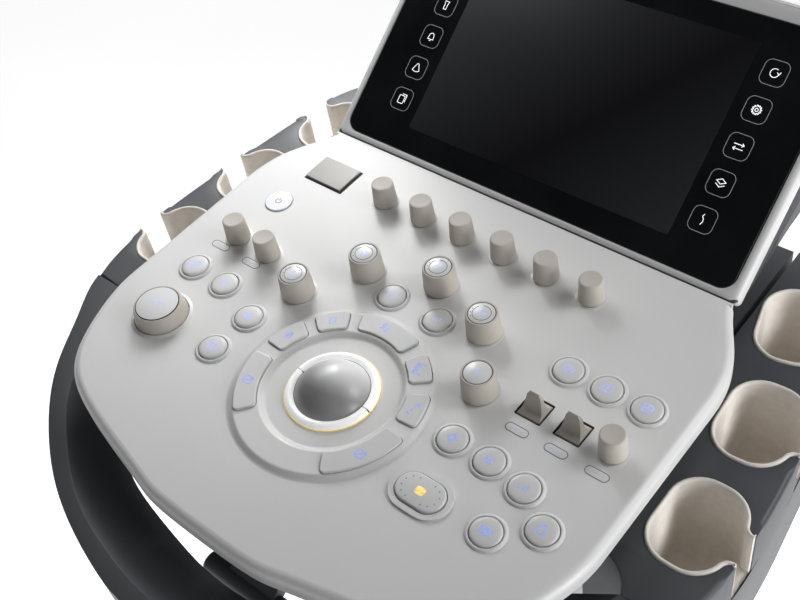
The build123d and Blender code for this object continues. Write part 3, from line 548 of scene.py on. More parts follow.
def softened(node, body, finish, passes):
    """A copy of a CAD node with rounded edges. Each pass is a width in millimetres, a number of steps, and a
    test of an edge's middle on the deck that chooses its sharp edges."""
    bm = bmesh.new()
    bm.from_mesh(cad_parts[node].data)
    bm.transform(DECK.inverted())
    bmesh.ops.remove_doubles(bm, verts=bm.verts, dist=0.002)
    bmesh.ops.dissolve_limit(bm, angle_limit=radians(0.4), verts=bm.verts, edges=bm.edges)
    for width, steps, chosen in passes:
        sharp = [
            edge for edge in bm.edges
            if len(edge.link_faces) == 2 and edge.calc_face_angle(0.0) > radians(24)
            and chosen((edge.verts[0].co + edge.verts[1].co) / 2)
        ]
        bmesh.ops.bevel(
            bm, geom=sharp, offset=width, segments=steps, profile=0.5, affect="EDGES", clamp_overlap=True
        )
    triangulate_wide(bm)
    piece(f"{node}_soft", bm, DECK, body, finish, [node])


# ---- symbols --------------------------------------------------------------------------------------------
def circle(x, y, radius, steps=20):
    return arc((x, y), radius, 0, 360 - 360 / steps, steps - 1)


def line(*numbers):
    """An open stroke through points given as x, y, x, y and so on."""
    return list(zip(numbers[::2], numbers[1::2])), False


def shape(*numbers):
    """A closed stroke through points given in the same way."""
    return line(*numbers)[0], True


def box(width, height, x=0, y=0, radius=0.12):
    return moved(rounded_box(width, height, radius, 3), x, y), True


def ring(x, y, radius):
    return circle(x, y, radius), True


def gear(teeth=12, outer=0.78, inner=0.6):
    points = []
    for k in range(teeth):
        for share, radius in ((0.0, inner), (0.18, outer), (0.5, outer), (0.68, inner)):
            angle = tau * (k + share) / teeth
            points.append((radius * cos(angle), radius * sin(angle)))
    return points


# each symbol is a list of strokes, a path and whether it is closed, in a square from -1 to 1
SYMBOLS = {
    "power": [(arc((0, -0.1), 0.75, 125, 415, 22), False), line(0, 0.1, 0, 0.95)],
    "grid": [box(1.7, 1.5), line(-0.85, 0, 0.85, 0), line(0, -0.75, 0, 0.75)],
    "halves": [box(1.7, 1.4), line(0, -0.7, 0, 0.7)],
    "screen": [box(1.7, 1.1, y=0.2), line(-0.6, -0.75, 0.6, -0.75)],
    "leaf": [shape(-0.7, 0, 0, 0.9, 0.7, 0, 0, -0.9)],
    "oval": [
        (arc((-0.25, 0), 0.85, -60, 60) + arc((0.6, 0), 0.85, 120, 240), True), line(-0.5, -0.9, 0.6, 0.8)
    ],
    "ruler": [line(-0.55, -0.95, -0.55, 0.95)]
    + [line(-0.55, -0.85 + 0.34 * k, 0.1 if k % 5 else 0.55, -0.85 + 0.34 * k) for k in range(6)],
    "plus_minus": [
        line(-0.35, 0.75, 0.35, 0.75), line(0, 0.4, 0, 1.1), line(-0.3, -0.85, 0.3, -0.85),
        line(0, -0.45, 0, 0.05),
    ],
    "crossed": [box(1.7, 1.5, radius=0.2), line(-0.8, -0.7, 0.8, 0.7)],
    "person": [
        ring(-0.35, 0.5, 0.33), (arc((-0.35, -0.75), 0.6, 25, 155), False), line(0.3, 0.1, 0.95, 0.1),
        line(0.3, -0.4, 0.95, -0.4),
    ],
    "camera": [box(1.8, 1.25, y=-0.05), ring(0, -0.05, 0.36)],
    "lines": [line(-0.8, 0.5, 0.8, 0.5), line(-0.8, 0, 0.4, 0), line(-0.8, -0.5, 0.7, -0.5)],
    "wave": [([(-0.95 + 0.19 * k, 0.5 * sin(1.9 * (-0.95 + 0.19 * k) * 2)) for k in range(11)], False)],
    "focus": [
        ring(0, 0, 0.55), line(0, 0.7, 0, 1.0), line(0, -0.7, 0, -1.0), line(0.7, 0, 1, 0), line(-0.7, 0, -1, 0)
    ],
    "turn": [(arc((0, 0), 0.72, 60, 350, 18), False), line(0.35, 0.2, 0.75, -0.12, 0.95, 0.35)],
    "sector": [([(-0.15, 0.8), (0.15, 0.8)] + arc((0, 0.6), 1.35, -55, -125, 8), True)],
    "bars": [line(-0.6 + 0.6 * k, -0.6, -0.6 + 0.6 * k, -0.1 + 0.35 * k) for k in range(3)],
    "pages": [box(1.2, 1.5, -0.15, -0.1), line(-0.3, 0.95, 0.75, 0.95, 0.75, -0.5)],
    "probe": [shape(-0.45, 0.75, 0.45, 0.75, 0.3, 0.1, 0.3, -0.8, -0.3, -0.8, -0.3, 0.1)],
    "bell": [
        (arc((0, 0.15), 0.5, 0, 180) + [(-0.6, -0.55), (0.6, -0.55)], True), line(-0.2, -0.8, 0.2, -0.8)
    ],
    "exit": [
        line(0.1, 0.7, -0.7, 0.7, -0.7, -0.7, 0.1, -0.7), line(-0.2, 0, 0.85, 0),
        line(0.5, 0.35, 0.85, 0, 0.5, -0.35),
    ],
    "gear": [(gear(), True), ring(0, 0, 0.26)],
    "curve": [line(-0.05, 0.95, -0.22, 0.5, 0.1, 0.05, 0.12, -0.4, -0.1, -0.9)],
    "blink": [line(-0.9, 0, -0.5, 0, -0.25, 0.6, 0.1, -0.6, 0.35, 0, 0.9, 0)],
    "stack": [shape(-0.8, 0.3, 0, 0.75, 0.8, 0.3, 0, -0.15), line(-0.8, -0.2, 0, -0.65, 0.8, -0.2)],
    "flow": [
        line(-0.9, 0.35, 0.4, 0.35, 0.75, 0.35), line(0.45, 0.65, 0.8, 0.35, 0.45, 0.05),
        line(0.9, -0.4, -0.75, -0.4), line(-0.45, -0.1, -0.8, -0.4, -0.45, -0.7),
    ],
}
LEGEND_HEIGHT = 0.06


def symbol(name, kind, place, size, body, finish, width=0.5):
    """A generic sign on a surface; its size is half its width."""
    bm = bmesh.new()
    for path, closed in SYMBOLS[kind]:
        scaled = [(x * size, y * size) for x, y in path]
        ribbon(bm, scaled, width, -LEGEND_HEIGHT, LEGEND_HEIGHT, closed)
    piece(name, bm, place, body, finish)


# ---- keys and buttons -----------------------------------------------------------------------------------
BUTTON_SIGNS = {
    "preset_button_1": "pages",
    "preset_button_2": "lines",
    "preset_button_3": "stack",
    "preset_button_4": "halves",
    "layout_button_1": "screen",
    "layout_button_2": "halves",
    "layout_button_3": "grid",
    "user_button_1": "focus",
    "user_button_2": "lines",
    "user_button_3": "bars",
    "user_button_4": "camera",
    "user_button_5": "sector",
    "mode_button_left": "wave",
    "mode_button_right": "bars",
}
BUTTON_ROOT = -6.5


def seat(name):
    """A deck control's own frame on the panel, its two corners on the deck, and half its width."""
    low, high = extent(name, DECK)
    return at(DECK, *spot(name, DECK)[:2]), low, high, (high.x - low.x) / 2


def round_caps():
    """A softly domed cap for each round button, in a bezel that slopes into the panel."""
    for name, sign in BUTTON_SIGNS.items():
        place, _, high, radius = seat(name)
        top = high.z
        profile = [
            (0, BUTTON_ROOT), (radius, BUTTON_ROOT), (radius, top - 1.2), (radius - 0.15, top - 0.65),
            (radius - 0.5, top - 0.25), (radius - 1.1, top - 0.02), (radius * 0.7, top + 0.22),
            (radius * 0.35, top + 0.34), (0, top + 0.36),
        ]
        piece(f"{name}_cap", lathe(profile), place, name, KEY, [name])
        face = at(place, 0, 0, top + 0.34)
        finish = LEGEND_BLUE if "user" in name else LEGEND_PALE
        symbol(f"{name}_sign", sign, face, 3.7, name, finish, width=0.6)
        bezel = [
            (radius + 0.62, 0.2), (radius + 0.62, 1.0), (radius + 0.85, 1.35), (radius + 1.3, 1.45),
            (radius + 1.9, 1.25), (radius + 2.5, 0.7), (radius + 3.0, 0.12), (radius + 3.0, -0.2),
        ]
        piece(f"{name}_bezel", lathe(bezel, looped=True), place, "console", PANEL)


KEY_SIGNS = {
    "ring_key_left": (207.0, "crossed"),
    "ring_key_upper_left": (162.5, "oval"),
    "ring_key_top": (131.0, "leaf"),
    "ring_key_upper_right": (93.0, "person"),
    "ring_key_right": (48.0, "ruler"),
    "ring_key_lower_right": (16.0, "plus_minus"),
    "ring_key_bottom": (-30.0, "crossed"),
}
KEY_MIDDLE_R = 56.3


def ring_key_signs():
    for name, (angle, sign) in KEY_SIGNS.items():
        top = extent(name, DECK)[1].z
        x, y = KEY_MIDDLE_R * cos(radians(angle)), KEY_MIDDLE_R * sin(radians(angle))
        turn = {"ring_key_right": 8.0, "ring_key_lower_right": -16.0}.get(name, 0.0)
        size = 4.9 if name in ("ring_key_right", "ring_key_lower_right") else 3.6
        symbol(f"{name}_sign", sign, at(DECK, x, y, top, turn), size, name, LEGEND_BLUE, width=0.5)


def slot_outline(length, width, steps=14):
    straight = (length - width) / 2
    return arc((straight, 0), width / 2, -90, 90, steps) + arc((-straight, 0), width / 2, 90, 270, steps)


def freeze():
    """The oblong key with a lamp in its middle and a dotted border."""
    name = "freeze_button"
    place, low, high, _ = seat(name)
    length, width = high.x - low.x, high.y - low.y
    outline = slot_outline(length, width)
    piece(f"{name}_cap", plate(outline, BUTTON_ROOT, high.z, 1.2), place, name, KEY, [name])
    bezel = inset(outline, -4.4)
    ring = frame_plate(bezel, 3.75, -0.2, 1.45, 0.55)
    piece(f"{name}_bezel", ring, place, "console", PANEL)
    levels = (high.z - 0.2, high.z + LEGEND_HEIGHT)
    slab(f"{name}_lamp", (6.4, 5.4, 1.6), (*levels, 0.04), place, name, GLOW_YELLOW)
    bm = bmesh.new()
    for x, y in slot_outline(length - 7.5, width - 6.5, 5):
        if abs(x) > 3.0:
            prism(bm, moved(circle(0, 0, 0.42, 10), x, y), *levels)
    piece(f"{name}_dots", bm, place, name, MARK_GREY)


def power():
    """The power key: a pale disc with a lit rim and sign."""
    name = "power_button"
    place, _, high, radius = seat(name)
    top = high.z
    profile = [
        (0, BUTTON_ROOT), (radius, BUTTON_ROOT), (radius, top - 0.5), (radius - 0.5, top - 0.05),
        (radius - 1.6, top), (0, top),
    ]
    piece(f"{name}_cap", lathe(profile), place, name, POWER_WHITE, [name])
    glow = [
        (radius - 1.7, top - 0.3), (radius - 1.7, top + 0.05), (radius - 0.7, top + 0.03),
        (radius - 0.7, top - 0.3),
    ]
    piece(f"{name}_glow", lathe(glow, looped=True), place, name, GLOW_BLUE)
    symbol(f"{name}_sign", "power", at(place, 0, 0, top), 2.9, name, MARK_GREY, width=0.55)


def drum():
    """The tall round button at the panel's left edge."""
    name = "drum_button"
    place, _, high, foot = seat(name)
    top = high.z
    upper = foot - 2.0
    profile = [(0, BUTTON_ROOT), (foot, BUTTON_ROOT), (foot, 1.2)]
    profile += [
        (upper + 0.1, top - 2.0), (upper - 0.15, top - 1.1), (upper - 0.7, top - 0.5),
        (upper - 1.3, top - 0.42), (upper - 1.5, top - 0.75), (upper - 1.8, top - 0.75),
        (upper - 2.0, top - 0.35), (upper - 2.6, top - 0.1), (0, top + 0.1),
    ]
    piece(f"{name}_cap", lathe(profile, 96), place, name, KNOB, [name])
    disc = [(0, top - 0.3), (upper - 2.2, top - 0.3), (upper - 2.2, top - 0.05), (upper - 2.6, top + 0.02)]
    disc += [(0, top + 0.2)]
    piece(f"{name}_disc", lathe(disc, 96), place, name, CAP)
    gap = [(upper - 2.25, top - 0.7), (upper - 2.25, top - 0.1), (upper - 1.65, top - 0.25)]
    gap += [(upper - 1.65, top - 0.7)]
    piece(f"{name}_groove", lathe(gap, 96, looped=True), place, name, SHADOW_LINE)
    symbol(f"{name}_sign", "sector", at(place, -3.6, 1.2, top + 0.12), 2.0, name, LEGEND_PALE)
    symbol(f"{name}_mark", "lines", at(place, 2.6, 0.8, top + 0.12), 2.7, name, LEGEND_PALE)
    bezel = [(foot + 0.6, -0.2), (foot + 0.6, 0.8), (foot + 1.0, 1.0), (foot + 2.0, 0.6), (foot + 3.0, 0.08)]
    bezel += [(foot + 3.0, -0.2)]
    piece(f"{name}_bezel", lathe(bezel, 96, looped=True), place, "console", PANEL)


# ---- dials and knobs ------------------------------------------------------------------------------------
DIAL_SIGNS = {
    "dial_left": "turn",
    "dial_upper_left": "screen",
    "dial_top": "blink",
    "dial_upper_right": "turn",
    "dial_right": "lines",
}


SHAFT_R = 3.0
SHAFT_TOP = 0.4


def shaft(root):
    return [(0, root), (SHAFT_R, root), (SHAFT_R, SHAFT_TOP)]


def knob_profile(foot, upper, bottom, top, corner):
    """A tapered knob on its shaft, with a rolled lower edge, a soft upper edge and a slightly dished top."""
    low = bottom + 0.8
    side = [(foot - 0.6, bottom), (foot, low), (foot - 0.25 * (foot - upper), low + 0.25 * (top - low))]
    side += [(upper, top - corner)]
    turn = [
        (upper - corner * (1 - cos(a)), top - corner * (1 - sin(a)))
        for a in (radians(18 * k) for k in range(1, 6))
    ]
    return side + turn


def dials():
    for name, sign in DIAL_SIGNS.items():
        place, low, high, foot = seat(name)
        top = high.z
        upper = foot - 1.1
        profile = shaft(low.z) + knob_profile(foot, upper, SHAFT_TOP, top, 1.0)
        profile += [(upper - 1.5, top - 0.1), (upper - 1.55, top - 1.0), (upper - 2.2, top - 1.0)]
        profile += [(0, top - 1.0)]
        piece(f"{name}_body", lathe(profile, 96), place, name, KNOB, [name])
        cap_r = upper - 2.15
        gap = [(cap_r - 0.2, top - 0.95), (cap_r - 0.2, top - 0.3), (upper - 1.45, top - 0.3)]
        gap += [(upper - 1.45, top - 0.95)]
        piece(f"{name}_groove", lathe(gap, 72, looped=True), place, name, SHADOW_LINE)
        cap = [(0, top - 1.0), (cap_r, top - 1.0), (cap_r, top - 0.1), (cap_r - 0.4, top + 0.08)]
        cap += [(0, top + 0.15)]
        piece(f"{name}_cap", lathe(cap, 96), place, name, CAP)
        if name != "dial_right":
            circle_r = cap_r * 0.7
            mark = arc((0, 0), circle_r, -215, 115, 40)
            bm = bmesh.new()
            ribbon(bm, mark, 0.42, top, top + 0.2)
            for angle in (180, 205, 230):
                x, y = (circle_r + 1.1) * cos(radians(angle)), (circle_r + 1.1) * sin(radians(angle))
                ribbon(bm, [(x * 0.94, y * 0.94), (x * 1.06, y * 1.06)], 0.5, top, top + 0.17)
            piece(f"{name}_ring_mark", bm, place, name, MARK_GREY)
        size = 2.7 if name != "dial_right" else 3.2
        symbol(f"{name}_sign", sign, at(place, 0, 0, top + 0.15), size, name, LEGEND_PALE, width=0.45)
        base = [(foot - 0.4, -0.1), (foot - 0.4, 0.3), (foot + 0.6, 0.32), (foot + 1.2, 0.1)]
        base += [(foot + 1.2, -0.1)]
        piece(f"{name}_foot", lathe(base, 96, looped=True), place, "console", FOOT)


def plain_knobs():
    for name in [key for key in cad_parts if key.startswith(("soft_knob", "side_knob"))]:
        place, low, high, foot = seat(name)
        top = high.z
        upper = foot - 1.0
        profile = shaft(low.z) + knob_profile(foot, upper, SHAFT_TOP, top, 1.1)
        profile += [(upper * 0.72, top - 0.12), (upper * 0.4, top - 0.3), (0, top - 0.34)]
        piece(f"{name}_body", lathe(profile, 80), place, name, KNOB, [name])
        base = [(foot - 0.4, -0.1), (foot - 0.4, 0.3), (foot + 0.5, 0.34), (foot + 1.3, 0.1)]
        base += [(foot + 1.3, -0.1)]
        piece(f"{name}_foot", lathe(base, 80, looped=True), place, "console", FOOT)


# ---- paddle switches ------------------------------------------------------------------------------------
def paddles():
    """A saddle that fills the square well, drawn up into a thin fin across it."""
    for name in ("paddle_left", "paddle_right"):
        place, low, high, half_x = seat(name)
        half_y = (high.y - low.y) / 2
        top = high.z
        front = [(-half_y, -3.8), (-half_y, -0.5), (-half_y + 0.5, 0.0), (-4.6, 0.7), (-2.7, 2.4), (-1.5, 5.2)]
        front += [(-0.7, 8.6), (0.0, top - 2.4)]
        tip = [(0.5, top - 0.7), (1.3, top - 0.1), (2.1, top - 0.6)]
        rear = [(2.5, top - 2.6), (2.6, 8.4), (2.9, 5.0), (3.8, 2.2), (5.2, 0.7)]
        rear += [(half_y - 0.5, 0.0), (half_y, -0.5), (half_y, -3.8)]
        sections = []
        for y, z in front + tip + rear:
            rise = min(1.0, max(0.0, z / top))
            width = half_x - (half_x - 4.6) * rise**0.55
            if z > top - 3.0:
                width *= max(0.25, 1 - ((z - top + 3.0) / 3.0) ** 2 * 0.42)
            shares = (-1, -0.96, -0.6, 0, 0.6, 0.96, 1)
            sections.append([(share * width, y, z) for share in shares])
        bm = bmesh.new()
        rows = [[bm.verts.new(point) for point in section] for section in sections]
        for lower, upper in zip(rows, rows[1:]):
            join_rings(bm, lower, upper, closed=False)
        for side in (0, -1):
            bm.faces.new([row[side] for row in rows])
        bm.faces.new(rows[0] + rows[-1][::-1])
        triangulate_wide(bm, 8)
        piece(f"{name}_fin", bm, place, name, KNOB, [name])
        size = (2 * half_x + 2.6, 2 * half_y + 2.6, 1.0)
        rim(f"{name}_well", size, (0.62, -3.0, 0.1, 0.05), place, "console", SHADOW_LINE)


LABELS = [(-159.0, 54.0), (-127.0, 53.2), (113.9, 40.2), (141.5, 40.6), (169.7, 40.6)]
LABEL_SIZE = (16.0, 6.4)


def labels():
    """Lit oblong labels beside the side knobs and paddles, with a generic sign."""
    for k, (x, y) in enumerate(LABELS):
        place = at(DECK, x, y)
        outline = slot_outline(*LABEL_SIZE)
        window = plate(inset(outline, 0.45), -0.2, 0.1, 0.05)
        piece(f"label_{k + 1}_window", window, place, "console", CAP)
        border = frame_plate(outline, 0.5, -0.2, 0.16, 0.05)
        piece(f"label_{k + 1}_border", border, place, "console", MARK_GREY)
        bm = bmesh.new()
        for step in range(4):
            left = -4.2 + 2.3 * step
            stroke = [(left, -0.8 + 0.5 * (step % 2)), (left + 1.4, 0.8 - 0.4 * (step % 2))]
            ribbon(bm, stroke, 0.5, 0.05, 0.16)
        piece(f"label_{k + 1}_sign", bm, place, "console", LEGEND_DIM)


# ---- trackball ------------------------------------------------------------------------------------------
RING_INNER = 24.9
RING_OUTER = 31.0
RING_HEIGHT = 3.6
RING_SPLIT = 1.1  # half angle of the gap between the ring's two halves, in degrees


def trackball_trim():
    """The white ring in two halves with a painted glow, the dark seam under it and the lit line round its foot.
    """
    section = [
        (RING_INNER, 1.6), (RING_INNER + 0.5, 2.6), (RING_INNER + 1.5, RING_HEIGHT - 0.25),
        (RING_INNER + 2.9, RING_HEIGHT), (RING_OUTER - 1.9, RING_HEIGHT - 0.35), (RING_OUTER - 0.8, 2.3),
        (RING_OUTER, 1.1), (RING_OUTER, 0.1), (RING_INNER + 2.2, 0.1),
    ]
    for k, start in enumerate((RING_SPLIT, 180 + RING_SPLIT)):
        sweep = 180 - 2 * RING_SPLIT
        sections = []
        for step in range(65):
            angle = radians(start + sweep * step / 64)
            sections.append([(r * cos(angle), r * sin(angle), z) for r, z in section])
        thing = loft(sections)
        piece(f"trackball_ring_half_{k + 1}", thing, DECK, "console", RING_WHITE_PAINTED_GLOW)
    root = extent("trackball_ring", DECK)[0].z
    seam = [(24.4, 0.9), (24.4, 1.5), (RING_INNER + 0.6, 1.9), (RING_OUTER - 1.0, 1.5), (RING_OUTER - 0.2, 0.1)]
    seam += [(28.9, -0.4)]
    bowl = [(28.9, -0.4), (27.9, -3.6), (29.3, -12.8), (26.4, -28.0), (12.0, root + 1.6), (0, root + 1.6)]
    bm = lathe(seam, 96, looped=True)
    lathe([(0, root), (22.0, root), (28.5, -30.0), (31.0, -12.0), (31.0, -1.0)] + bowl, 96, bm=bm)
    piece("trackball_socket", bm, DECK, "console", SHADOW_LINE, ["trackball_ring"])
    foot = RING_OUTER + 0.05
    glow = [(foot, -0.1), (foot, 0.45), (foot + 0.3, 0.5), (foot + 0.55, 0.3), (foot + 0.6, -0.1)]
    piece("trackball_glow", lathe(glow, 128, looped=True), DECK, "console", GLOW_AMBER)


# ---- panel plate ----------------------------------------------------------------------------------------
PLATE_PLACE = (-138.5, 155.0)
PLATE_SIZE = (34.5, 24.5)


def panel_plate():
    """A small plain plate in a shallow dark recess."""
    place = at(DECK, *PLATE_PLACE)
    width, depth = PLATE_SIZE
    slab("plate_recess", (width + 2.6, depth + 2.4, 0.8), (-0.2, 0.12, 0.05), at(place, 0.5, -0.3),
         "console", SHADOW_LINE)
    slab("plate_face", (width, depth, 0.7), (-0.2, 1.5, 0.35), at(place, -0.4, 0.3),
         "console", BEIGE)


# ---- touch panel ----------------------------------------------------------------------------------------
DISPLAY_SIZE = (222.0, 139.0)
DISPLAY_SHIFT = 0.5
ICON_PITCH = 26.1
ICON_X = 128.0
ICON_LOW = -51.0  # glass height of the lowest icon row
TOUCH_SIGNS = {
    "left": ("pages", "sector", "bell", "probe", "exit"),
    "right": ("curve", "stack", "flow", "gear", "turn"),
}


def display_painted_reflection():
    """The display: dark, with a painted reflection, a soft diagonal bloom from the lower right and the upper
    left.
    """
    nodes = Nodes("display_dark_painted_reflection")
    turned = nodes.add("ShaderNodeMapping", vector_type="TEXTURE")
    turned.inputs["Location"].default_value = GLASS.translation
    turned.inputs["Rotation"].default_value = GLASS.to_euler()
    turned.inputs["Scale"].default_value = (0.111, 0.0695, 0.1)
    nodes.link(nodes.place, turned.inputs["Vector"])
    split = nodes.add("ShaderNodeSeparateXYZ")
    nodes.link(turned.outputs["Vector"], split.inputs["Vector"])
    slope = nodes.add("ShaderNodeMath", operation="MULTIPLY_ADD")
    nodes.link(split.outputs["Y"], slope.inputs[0])
    slope.inputs[1].default_value = -0.55
    nodes.link(split.outputs["X"], slope.inputs[2])
    share = nodes.span(slope.outputs["Value"], 0.0, 1.0)
    share.node.inputs["From Min"].default_value = -1.5
    share.node.inputs["From Max"].default_value = 1.5
    # painted reflection: the lighter ends of the ramp stand for a soft reflection across the glass
    stops = [
        (0.0, (0.05, 0.052, 0.06, 1)), (0.3, (0.03, 0.031, 0.036, 1)), (0.62, (0.007, 0.007, 0.009, 1)),
        (1.0, (0.028, 0.03, 0.034, 1)),
    ]
    tone = nodes.ramp(share, stops)
    nodes.link(tone, nodes.shader.inputs["Base Color"])
    nodes.shader.inputs["Roughness"].default_value = 0.3
    nodes.shader.inputs["Specular IOR Level"].default_value = 0.2
    return nodes.material


def touch_panel():
    slab("touch_display", (*DISPLAY_SIZE, 2.0), (-0.3, 0.08, 0.04), at(GLASS, 0, DISPLAY_SHIFT),
         "touch_panel", display_painted_reflection())
    for side, signs in TOUCH_SIGNS.items():
        x = ICON_X if side == "right" else -ICON_X
        for k, sign in enumerate(signs):
            place = at(GLASS, x, ICON_LOW + ICON_PITCH * k)
            name = f"touch_icon_{side}_{k + 1}"
            rim(f"{name}_frame", (17.4, 17.4, 4.8), (0.36, -0.1, 0.07, 0.02), place,
                "touch_panel", LEGEND_FAINT)
            symbol(name, sign, place, 4.1, "touch_panel", LEGEND_WHITE, 0.5)


# the glass's place on the touch panel: the frame is wider at the top
TOUCH_HALF_X = 172.4
TOUCH_LOWER = -93.3
TOUCH_UPPER = 101.3
FRAME_DEPTH = 9.5
COVER_PROFILE = [  # the dark rear cover from the side: height on the glass and depth behind it
    (-92.5, -9.6), (-89.5, -12.0), (-71.0, -18.5), (-51.0, -25.0), (-31.0, -33.5), (-11.0, -45.0),
    (9.0, -50.0), (49.0, -52.0), (87.0, -46.0), (97.0, -38.0), (100.0, -28.0), (100.4, -9.6),
]
COVER_HALF_X = 172.3
PANEL_BACK = 194.0  # the panel's rear edge on the deck


def ring_sections(pairs):
    """Sections of the touch panel's frame between its outer outline and the glass; each pair is a share of
    the way in and a height."""
    outer = []
    corners = ((1, 1, 13.0, 0), (-1, 1, 13.0, 90), (-1, -1, 3.5, 180), (1, -1, 3.5, 270))
    for side_x, side_y, radius, start in corners:
        edge_y = TOUCH_UPPER if side_y > 0 else TOUCH_LOWER
        corner = (side_x * (TOUCH_HALF_X - radius), edge_y - side_y * radius)
        outer += arc(corner, radius, start, start + 90, 7)
    inner = rounded_box(331.2, 175.2, 10.6)
    sections = []
    for share, height in pairs:
        mixed = [(a[0] + (b[0] - a[0]) * share, a[1] + (b[1] - a[1]) * share) for a, b in zip(outer, inner)]
        sections.append([(*point, height) for point in mixed])
    return sections


def touch_frame():
    """The light frame round the glass, and the vent slots in the sides of the dark housing behind it."""
    pairs = [
        (0.0, -FRAME_DEPTH), (0.0, -5.0), (0.06, -3.0), (0.2, -1.4), (0.42, -0.5), (0.66, -0.25),
        (0.92, -0.35), (1.0, -0.8), (1.0, -4.3), (0.5, -FRAME_DEPTH),
    ]
    light_frame = loft(ring_sections(pairs), looped=True)
    piece("touch_frame", light_frame, GLASS, "touch_panel", PANEL)
    sections = []
    ends = ((-COVER_HALF_X, 2.2), (-171.6, 0.7), (-170.0, 0.0), (170.0, 0.0), (171.6, 0.7), (COVER_HALF_X, 2.2))
    for x, drawn_in in ends:
        sections.append([(x, y, z) for y, z in inset(COVER_PROFILE, drawn_in)])
    cover = loft(sections)
    cover.normal_update()
    triangulate_wide(cover)
    piece("touch_rear_cover", cover, GLASS, "touch_panel", SLATE)
    for side, name in ((-1, "left"), (1, "right")):
        wall = Matrix.Translation((side * COVER_HALF_X, 40.0, -31.0)) @ Matrix.Rotation(side * pi / 2, 4, "Y")
        wall = GLASS @ wall
        rim(f"touch_vent_{name}_rim", (4.2, 90.0, 1.8), (0.8, -0.3, 0.35, 0.1), wall,
            "touch_panel", SLATE_LIGHT)
        bm = bmesh.new()
        for k in range(31):
            slit = moved([(-1.2, -0.8), (1.2, -0.8), (1.2, 0.8), (-1.2, 0.8)], 0, -42.0 + 2.8 * k)
            prism(bm, slit, -0.3, 0.22)
        piece(f"touch_vent_{name}_slits", bm, wall, "touch_panel", SHADOW_LINE)
    slab("panel_rear_lip", (341.0, 2.2, 0.4), (-6.0, 0.0, 0.35), at(DECK, 0, PANEL_BACK + 0.9),
         "console", PANEL)


# ---- trays, cups and handle -----------------------------------------------------------------------------
TRAY_TOP = -28.0
TRAY_BOTTOM = -128.0
SLOT_FLOOR = TRAY_TOP - 38.0
CUP_FLOOR = TRAY_TOP - 77.0
CUP_WALL = 3.0
CUP_HALF = (25.0, 32.5)
CUP_CORNER = 22.0
SLOT_TURN = 6.0  # radius where the cup's side turns out into the slot
LIP_START = 4  # points left off each flared end, where the lip would run inside the tray
FLARE_POINTS = 12  # points of the lip from its flared end to the cup's round part
SLOT_HALF = 11.5  # half the slot's width, with the lip
CUPS = [(224.8, 59.0, 0.0), (219.6, 142.0, 4.0), (203.0, 223.0, 14.0)]  # place on the deck, and turn
TRAY_FRONT = [(171.0, 20.0), (190.0, 15.5), (198.0, 12.6), (205.0, 8.5), (210.2, 3.0), (213.0, -3.5)]
TRAY_OUTER = [
    (246.0, -3.5), (250.8, 12.0), (254.3, 32.0), (256.0, 56.0), (255.2, 85.0), (253.2, 112.0), (250.0, 140.0),
    (244.5, 185.0), (237.0, 236.0), (232.6, 255.0), (226.0, 270.0),
]
TRAY_REAR = [
    (220.0, 279.0), (212.0, 284.0), (202.0, 286.6), (190.0, 287.0), (174.0, 287.0), (174.0, 196.0),
    (171.0, 180.0),
]
LIP_SHARES = [  # the lip across: share of the wall's thickness, and height
    (0.0, SLOT_FLOOR), (0.0, TRAY_TOP - 0.4), (0.04, TRAY_TOP + 0.5), (0.2, TRAY_TOP + 1.15),
    (0.42, TRAY_TOP + 1.35), (0.68, TRAY_TOP + 1.1), (0.9, TRAY_TOP + 0.3), (1.0, TRAY_TOP - 0.9),
    (1.0, SLOT_FLOOR),
]
CUP_OUTSIDE = [(0.0, SLOT_FLOOR + 0.4), (0.0, CUP_FLOOR + 3.0), (4.0, CUP_FLOOR - CUP_WALL)]
CUP_INSIDE = [
    (12.0, CUP_FLOOR), (7.5, CUP_FLOOR + 0.5), (4.6, CUP_FLOOR + 2.2), (3.3, CUP_FLOOR + 5.0),
    (CUP_WALL, CUP_FLOOR + 9.0), (CUP_WALL, SLOT_FLOOR + 0.4),
]
LIP_SUNK = 2.4  # how far the lip's ends stay inside the tray's outer edge
TRAY_EDGE = [(0.0, SLOT_FLOOR), (0.0, -1.0), (0.07, -0.62), (0.29, -0.29), (0.62, -0.07), (1.0, 0.0)]
TRAY_FOOT = [(3.0, TRAY_BOTTOM), (0.9, TRAY_BOTTOM + 0.9), (0.0, TRAY_BOTTOM + 3.0), (0.0, SLOT_FLOOR)]


def smooth_path(points, steps=6):
    """An open path drawn smoothly through its points."""
    result = []
    count = len(points)
    for k in range(count - 1):
        before, first, last, after = (Vector(points[min(max(j, 0), count - 1)]) for j in range(k - 1, k + 3))
        for step in range(steps):
            t = step / steps
            point = (
                first * 2 + (last - before) * t + (before * 2 - first * 5 + last * 4 - after) * t**2
                + (first * 3 - before - last * 3 + after) * t**3
            ) / 2
            result.append(tuple(point))
    return result + [tuple(points[-1])]


def offset_path(path, distances):
    """A path moved to its left, by a distance for each point."""
    result = []
    count = len(path)
    for k, point in enumerate(path):
        after = Vector(path[min(k + 1, count - 1)]) - Vector(path[max(k - 1, 0)])
        after.normalize()
        result.append((point[0] - after.y * distances[k], point[1] + after.x * distances[k]))
    return result


def bent(points, radii, steps=7):
    """An open polyline with its own rounding at each corner."""
    result = [points[0]]
    for before, corner, after, radius in zip(points, points[1:], points[2:], radii):
        corner = Vector(corner)
        back, ahead = Vector(before) - corner, Vector(after) - corner
        reach = min(radius, 0.9 * back.length, 0.9 * ahead.length)
        first, last = corner + back.normalized() * reach, corner + ahead.normalized() * reach
        for step in range(steps + 1):
            t = step / steps
            result.append(tuple(first * (1 - t) ** 2 + corner * 2 * t * (1 - t) + last * t**2))
    return result + [points[-1]]


